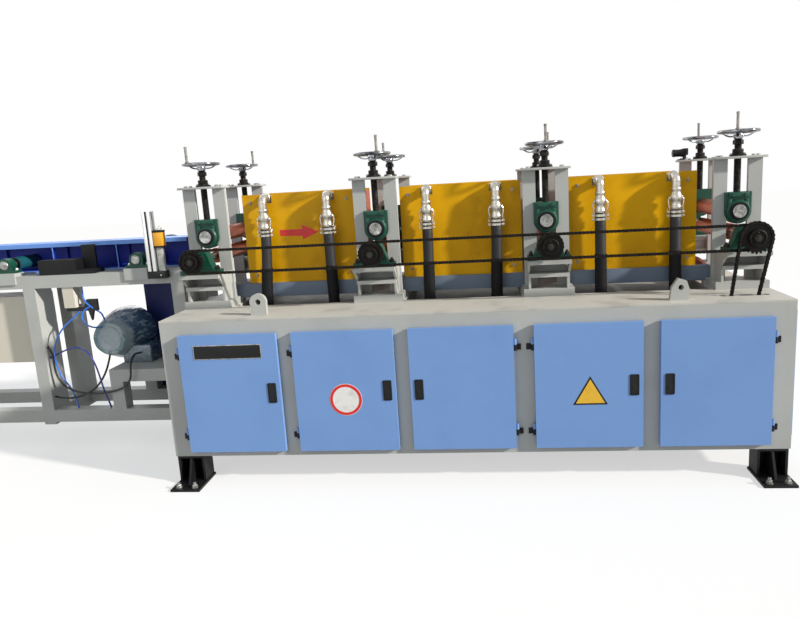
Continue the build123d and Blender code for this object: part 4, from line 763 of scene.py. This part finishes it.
# Fitting on the rear top plate of the last station: a black cylinder lying on a saddle, with its
# terminal block at one end and a short post under it.
fitting = bmesh.new()
add_box(fitting, spot(2832, 1003, 1543.2), spot(2895, 1059, 1549), 0.001)
add_rod(fitting, spot(2866, 1031, 1548), spot(2866, 1031, 1573), 0.011, edge=0.001)
add_box(fitting, spot(2855, 1014, 1570), spot(2884, 1048, 1610), 0.003)
join(fitting, turned([(0, 0), (0.020, 0), (0.023, 0.003), (0.023, 0.012), (0.0215, 0.014), (0.0215, 0.046),
                      (0.023, 0.048), (0.023, 0.056), (0.019, 0.060), (0, 0.060)], 32),
     pose(spot(2856, 1031, 1584), (-1, 0, 0)))
for side in (-1, 1):
    add_nut(fitting, spot(2864 + side * 22, 1031 + side * 18, 1549), (0, 0, 1), 0.010, 0.005, 1)
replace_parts(finish("rear_fitting", fitting, [latch_black, zinc], "machine"), "top_fitting")

# Feed trough: folded channel in pale blue paint, with its hollow painted deep blue as painted shade. Ribs are
# spot-welded inside.
channel_blue = painted("channel blue", "7C9CE2", "6A8BD6", 0.40, peel=0.15)
before_web = 1 - channel_blue.between(channel_blue.along("Y"), 0.171, 0.174)
# Painted shade: the hollow between the lip, the floor and the web is deep blue.
hollow_shade = channel_blue.between(channel_blue.along("Y"), 0.0155, 0.022) * before_web
above_floor = channel_blue.between(channel_blue.along("Z"), 1.0885, 1.0925)
below_lip = 1 - channel_blue.between(channel_blue.along("Z"), 1.2545, 1.2565)
rust = channel_blue.between(channel_blue.noise(7.0, 3.0), 0.66, 0.72)
outer_blue = channel_blue.mix(rust * 0.35, "6A97E0", "5C7FC4")
painted_shade_blue = channel_blue.mix(channel_blue.noise(3.0, 3.0), "1B36B8", "101F78")
channel_blue.put("Base Color", channel_blue.mix(hollow_shade * below_lip * above_floor, outer_blue, painted_shade_blue))
dress(channel_blue, "feed_trough")

# Bench rollers: teal rubber on steel shafts, black seal rings at both ends, and a black disc on the first
# roller's rear end. A domed steel cap closes each front bearing.
disc_black = Look("disc black", "101012", 0.42, shine=0.2)
disc_black.put("Roughness", 0.36 + disc_black.noise(12.0) * 0.2)
roller_places = (-370.0, -1200.0)
roller_axis = 1147
domed_cap = [(0, 0), (0.0285, 0), (0.0285, 0.004), (0.0265, 0.0075), (0.0205, 0.0110), (0.011, 0.0128),
             (0, 0.0132)]
roller_seal = [(0.0222, 0), (0.0385, 0), (0.0385, 0.003), (0.034, 0.006), (0.0222, 0.006), (0.0222, 0)]
disc_face = [(0, 0.0162), (0.030, 0.0162), (0.030, 0.020), (0, 0.020)]
for number, roller_x in enumerate(roller_places, start=1):
    roller = Look(f"bench roller {number}", "1F5A63", 0.4, shine=0.3)
    axis = spot(roller_x, 0, roller_axis)
    across = roller.along("X") - axis.x
    above = roller.along("Z") - axis.z
    radius_squared = across * across + above * above
    body = roller.between(radius_squared, 0.00052, 0.00056)
    disc_zone = roller.between(roller.along("Y"), 0.330, 0.3305)
    covered = roller.mix(roller.noise(10.0), "1E5F68", "14424C")
    bare = roller.mix(roller.noise(30.0), "B4B1AA", "7F7C75")
    roller.put("Base Color", roller.mix(disc_zone, roller.mix(body, bare, covered), "101012"))
    roller.put("Metallic", (1 - body) * (1 - disc_zone) * 0.95)
    dress(roller, f"bench_roller_{number}")
    trim = bmesh.new()
    join(trim, turned(domed_cap, 40), pose(spot(roller_x, 512.6, roller_axis), (0, -1, 0)))
    for ring_y, outward in ((600, -1), (785, 1)):
        join(trim, turned(roller_seal, 40), pose(spot(roller_x, ring_y, roller_axis), (0, outward, 0)), 1)
    if number == 1:
        join(trim, turned(disc_face, 40), pose(spot(roller_x, 982, roller_axis), (0, -1, 0)), 1)
    finish(f"roller_trim_{number}", trim, [cap_bright, disc_black], f"bench_roller_{number}")

# Bolts of the bench's pillow blocks: zinc-plated heads on round washers, in the slots at both ends of each
# cast base.
bench_bolts = bmesh.new()
for roller_x in roller_places:
    for block_y in (538.0, 906.0):
        for side in (-1, 1):
            at = spot(roller_x + side * 56, block_y, 1116)
            add_bolt(bench_bolts, at, (0, 0, 1), 0.018, 0.010, 0.012, 0.0025, turn=side)
finish("bench_bolts", bench_bolts, [zinc])

# Bench motor: a geared motor in creased packing film, which bridges from the narrow fan cowl at the front to
# the wide gear case behind. Its sides carry painted highlights in streaks and round the front rim, and
# painted shade towards the bottom.
film = Look("packing film", "6F8CA6", 0.2, coat=0.6)
stretched = film.node("ShaderNodeMapping", {}, {"Vector": film.place, "Scale": (9.0, 2.2, 9.0)})
crease = film.noise(1.6, 4.0, 1.2, stretched)
ripple = film.noise(5.0, 3.0, 0.8, stretched)
face_zone = 1 - film.between(film.along("Y"), -0.029, -0.022)
low_side_shade = 1 - film.between(film.along("Z"), 0.50, 0.80)
# Painted highlights: pale streaks along the creases of the sides.
side_streak_highlights = film.mix(film.between(ripple, 0.50, 0.68), "425F7C", "9DB2C0")
# Painted shade: the sides darken towards the bottom.
side_low_shade = film.mix(low_side_shade * 0.7, side_streak_highlights, "2A3C4E")
# Painted highlight: a pale band round the front rim.
rim_highlight_zone = film.between(film.along("Y"), -0.034, -0.030) * (1 - film.between(film.along("Y"), 0.005, 0.045))
side_rim_highlight = film.mix(rim_highlight_zone * 0.75, side_low_shade, "A7B5B8")
face_teal = film.mix(film.between(crease, 0.42, 0.60), "4F7C86", "8E9C9C")
film.put("Base Color", film.mix(face_zone, side_rim_highlight, face_teal))
film.put("Roughness", 0.12 + crease * 0.25)
film.bump(ripple + crease * 0.6, 0.55, 0.012)
wrapped = bmesh.new()
motor_length = 0.278
motor_line = [(0, 0.020), (0.055, 0.017), (0.072, 0.010), (0.082, 0.003), (0.090, 0.0005), (0.0985, 0.0015),
              (0.104, 0.008), (0.110, 0.022), (0.120, 0.048), (0.136, 0.088), (0.151, 0.130), (0.161, 0.170),
              (0.165, 0.200), (0.164, 0.250), (0.158, 0.271), (0.140, motor_length), (0, motor_length)]
motor_shape = turned(motor_line, 64)
for vert in motor_shape.verts:
    depth = vert.co.z / motor_length
    around = math.atan2(vert.co.y, vert.co.x)
    fold = 1 + 0.012 * math.sin(around * 4 + depth * 3) + 0.006 * math.sin(around * 9 - depth * 5)
    vert.co.x *= fold
    vert.co.y *= fold
    vert.co.x -= 0.018 * (1 - depth)
    vert.co.y += 0.004 * (1 - depth)
bmesh.ops.recalc_face_normals(motor_shape, faces=motor_shape.faces)
mirrored = Matrix.Scale(-1, 4, (0, 1, 0))
lying = Matrix.Translation(spot(-642, 592, 656)) @ Matrix.Rotation(-math.pi / 2, 4, "X")
join(wrapped, motor_shape, lying @ mirrored)
add_box(wrapped, spot(-620, 652, 490.2), spot(-432, 868, 600), 0.008)
bmesh.ops.recalc_face_normals(wrapped, faces=wrapped.faces)
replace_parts(finish("wrapped_motor", wrapped, [film], "machine", 60.0), "bench_motor")

# Sensor post: a slotted aluminium upright on a black foot, and on its right a yellow light sensor between
# black end caps, with a white plug on top and a pale post below.
aluminium = bare_metal("aluminium", "DADBDA", "B9BAB8", 0.28, metal=0.85, scale=8.0)
sensor_yellow = Look("sensor yellow", "E9A613", 0.35, coat=0.2)
plug_white = Look("plug white", "D8D8D2", 0.4)
upright_post = bmesh.new()
for low_x, high_x in ((-268, -248.5), (-237.5, -218)):
    for low_y, high_y in ((450, 469.5), (480.5, 500)):
        add_box(upright_post, spot(low_x, low_y, 1041), spot(high_x, high_y, 1425), 0.0015)
for low, high, edge, index in (((-264, 454, 1041), (-222, 496, 1423.5), 0.001, 1),
                               ((-272, 446, 1040), (-166, 500, 1083), 0.003, 1),
                               ((-216, 452, 1226), (-160, 494, 1304), 0.004, 2),
                               ((-217, 451, 1304), (-159, 495, 1316), 0.003, 1),
                               ((-217, 451, 1217), (-159, 495, 1226), 0.003, 1),
                               ((-206, 462, 1316), (-172, 484, 1330), 0.003, 3),
                               ((-208, 462, 1082), (-172, 486, 1217), 0.002, 4)):
    add_box(upright_post, spot(*low), spot(*high), edge, index)
for pin_x in (-198, -181):
    add_rod(upright_post, spot(pin_x, 473, 1329), spot(pin_x, 473, 1341), 0.005, 3, 14, 0.001)
for bolt_z, bolt_y in ((1060, 446), (1110, 462), (1180, 462)):
    add_nut(upright_post, spot(-190, bolt_y, bolt_z), (0, -1, 0), 0.009, 0.005, 5)
post_looks = [aluminium, latch_black, sensor_yellow, plug_white, grey_paint, zinc]
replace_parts(finish("sensor_post", upright_post, post_looks, "machine"), "bar_sensor")

# Air unit: a beige valve box and cylinder block, and the black bracket that hangs them from the beam. A sheet
# closes the back of the bench behind the motor, coloured dark navy as painted shade on a blue sheet.
beige_paint = painted("beige paint", "D2CCBD", "BDB7A8", 0.45)
past_box = beige_paint.between(beige_paint.along("X"), -1.61, -1.60)
low_part = 1 - beige_paint.between(beige_paint.along("Z"), 0.8765, 0.8775)
right_part = beige_paint.between(beige_paint.along("X"), -1.3268, -1.3262)
either = low_part + right_part - low_part * right_part
beige_paint.put("Base Color", beige_paint.mix(past_box * either, "CFC9BA", "17171A"))
dress(beige_paint, "air_unit")
# Painted shade: the back sheet is given the dark navy of blue sheet in shade.
shaded_navy_paint = painted("shaded navy paint", "111A5C", "1B2350", 0.4)
dress(shaded_navy_paint, "bench_back_panel")

# Air tubes and cables of the bench: soft tubes that loop freely between the valve block, the motor and the
# feet of the platform.


def tube(name, look, width, route):
    """A free tube on one smooth curve through control places in cabinet millimetres."""
    curve = bpy.data.curves.new(name, "CURVE")
    curve.dimensions = "3D"
    curve.bevel_depth = width / 2
    curve.bevel_resolution = 3
    curve.resolution_u = 8
    curve.use_fill_caps = True
    spline = curve.splines.new("NURBS")
    spline.points.add(len(route) - 1)
    for point, place in zip(spline.points, route):
        point.co = (*spot(*place), 1.0)
    spline.order_u = 3
    spline.use_endpoint_u = True
    curve.materials.append(look.material)
    piece = show(name, curve)
    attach(piece, "machine")
    spot(*route[0])


tube_blue = Look("tube blue", "1F6FD6", 0.25, coat=0.4)
tube_blue.cloud(tube_blue.noise(20.0), "2878DC", "1A5CC0")
tube_navy = Look("tube navy", "16309C", 0.3, coat=0.3)
tube_navy.cloud(tube_navy.noise(20.0), "1A38A8", "12257A")
cable_black = Look("cable black", "101012", 0.5)
cable_black.put("Roughness", 0.45 + cable_black.noise(12.0) * 0.15)

tube("air_tube_1", tube_blue, 0.010,
     ((-747, 538, 1004), (-747, 534, 955), (-735, 526, 910), (-690, 526, 868), (-668, 562, 836),
      (-688, 612, 806), (-700, 642, 774)))
tube("air_tube_2", tube_blue, 0.010,
     ((-708, 529, 876), (-740, 520, 866), (-766, 516, 816), (-746, 524, 766), (-708, 556, 738),
      (-690, 604, 738)))
tube("air_tube_3", tube_blue, 0.010,
     ((-775, 529, 853), (-815, 522, 815), (-880, 515, 768), (-932, 512, 706), (-962, 510, 640),
      (-972, 510, 568), (-962, 510, 496), (-936, 512, 432), (-907, 520, 382), (-890, 532, 312),
      (-886, 538, 241)))
tube("air_tube_4", tube_navy, 0.010,
     ((-1023, 540, 566), (-985, 526, 580), (-900, 515, 618), (-812, 512, 638), (-750, 512, 600),
      (-716, 512, 520), (-698, 512, 430), (-686, 514, 350), (-676, 524, 295), (-672, 538, 241)))
tube("motor_cable", cable_black, 0.012,
     ((-697, 640, 546), (-690, 596, 494), (-700, 548, 430), (-738, 520, 374), (-804, 512, 334),
      (-892, 512, 314), (-972, 518, 312), (-1023, 530, 320)))
tube("platform_cable", cable_black, 0.012,
     ((-500, 652, 552), (-494, 596, 566), (-480, 534, 568), (-468, 466, 532), (-470, 462, 446),
      (-520, 476, 390), (-590, 484, 362), (-670, 490, 348), (-750, 500, 342), (-830, 508, 346),
      (-898, 512, 366), (-952, 512, 404), (-980, 512, 462), (-986, 512, 530), (-984, 516, 590),
      (-1023, 534, 640)))

# Studio: a pale floor that keeps the shadow, a background that the camera sees white, a soft sun from the
# upper right, and the camera at the photograph's angle.
world = bpy.data.worlds.new("studio")
scene.world = world
world.use_nodes = True
sky = world.node_tree
light_path = sky.nodes.new("ShaderNodeLightPath")
seen = light_path.outputs["Is Camera Ray"]
for ray in ("Is Glossy Ray", "Is Transmission Ray"):
    either_ray = sky.nodes.new("ShaderNodeMath")
    either_ray.operation = "MAXIMUM"
    sky.links.new(seen, either_ray.inputs[0])
    sky.links.new(light_path.outputs[ray], either_ray.inputs[1])
    seen = either_ray.outputs[0]
soft_light = sky.nodes["Background"]
soft_light.inputs["Color"].default_value = (0.86, 0.90, 0.96, 1)
soft_light.inputs["Strength"].default_value = 0.45
white_back = sky.nodes.new("ShaderNodeBackground")
white_back.inputs["Color"].default_value = (1, 1, 1, 1)
white_back.inputs["Strength"].default_value = 1.0
chosen = sky.nodes.new("ShaderNodeMixShader")
sky.links.new(seen, chosen.inputs[0])
sky.links.new(soft_light.outputs[0], chosen.inputs[1])
sky.links.new(white_back.outputs[0], chosen.inputs[2])
sky.links.new(chosen.outputs[0], sky.nodes["World Output"].inputs["Surface"])

floor_mesh = bpy.data.meshes.new("floor")
floor_plane = bmesh.new()
bmesh.ops.create_grid(floor_plane, x_segments=1, y_segments=1, size=30.0)
floor_plane.to_mesh(floor_mesh)
floor_plane.free()
floor = show("floor", floor_mesh)
pale_floor = Look("floor", "ABABAA", 0.9, shine=0.0)
rays = pale_floor.tree.nodes.new("ShaderNodeLightPath")
in_view = Level(pale_floor, rays.outputs["Is Camera Ray"])
in_gloss = Level(pale_floor, rays.outputs["Is Glossy Ray"])
in_glass = Level(pale_floor, rays.outputs["Is Transmission Ray"])
glow = pale_floor.mix(in_view + in_gloss + in_glass, (0.0, 0.0, 0.0), (0.56, 0.56, 0.56))
pale_floor.put("Emission Color", glow)
pale_floor.put("Emission Strength", 1.0)
floor_mesh.materials.append(pale_floor.material)


def lamp(name, kind, energy, place, target, size, colour=(1.0, 1.0, 1.0)):
    """A sun or a disc lamp that shines from a place towards a target."""
    data = bpy.data.lights.new(name, kind)
    data.energy = energy
    data.color = colour
    if kind == "AREA":
        data.shape = "DISK"
        data.size = size
    else:
        data.angle = size
    lamp_object = show(name, data)
    lamp_object.location = place
    aim = Vector(target) - Vector(place)
    lamp_object.rotation_euler = aim.to_track_quat("-Z", "Y").to_euler()


lamp("key", "SUN", 5.0, (8.7, -2.72, 4.96), (0.0, 0.0, 0.8), 0.05, (1.0, 0.96, 0.90))
lamp("fill", "AREA", 60.0, (-2.5, -6.0, 3.0), (0.0, 0.0, 0.9), 4.0, (0.94, 0.97, 1.0))
lamp("rim", "AREA", 70.0, (-3.0, 5.0, 4.0), (0.0, 0.0, 1.0), 4.0)

camera_data = bpy.data.cameras.new("camera")
camera = show("camera", camera_data)
scene.camera = camera
yaw = math.radians(6.119)
dip = math.radians(-10.387)
roll = -0.0569
forward = Vector((-math.sin(yaw) * math.cos(dip), math.cos(yaw) * math.cos(dip), math.sin(dip)))
level_right = forward.cross(Vector((0, 0, 1))).normalized()
level_up = level_right.cross(forward)
right = math.cos(roll) * level_right + math.sin(roll) * level_up
up = -math.sin(roll) * level_right + math.cos(roll) * level_up
turn = Matrix((right, up, -forward)).transposed()
camera.matrix_world = Matrix.Translation((1.16366, -3.71962, 1.52134)) @ turn.to_4x4()
camera_data.sensor_fit = "HORIZONTAL"
camera_data.sensor_width = 36.0
camera_data.lens = 652.53 / 800 * 36.0
camera_data.shift_x = -25.75 / 800
camera_data.shift_y = -11.01 / 800
camera_data.clip_end = 100.0
scene.view_settings.view_transform = "Standard"
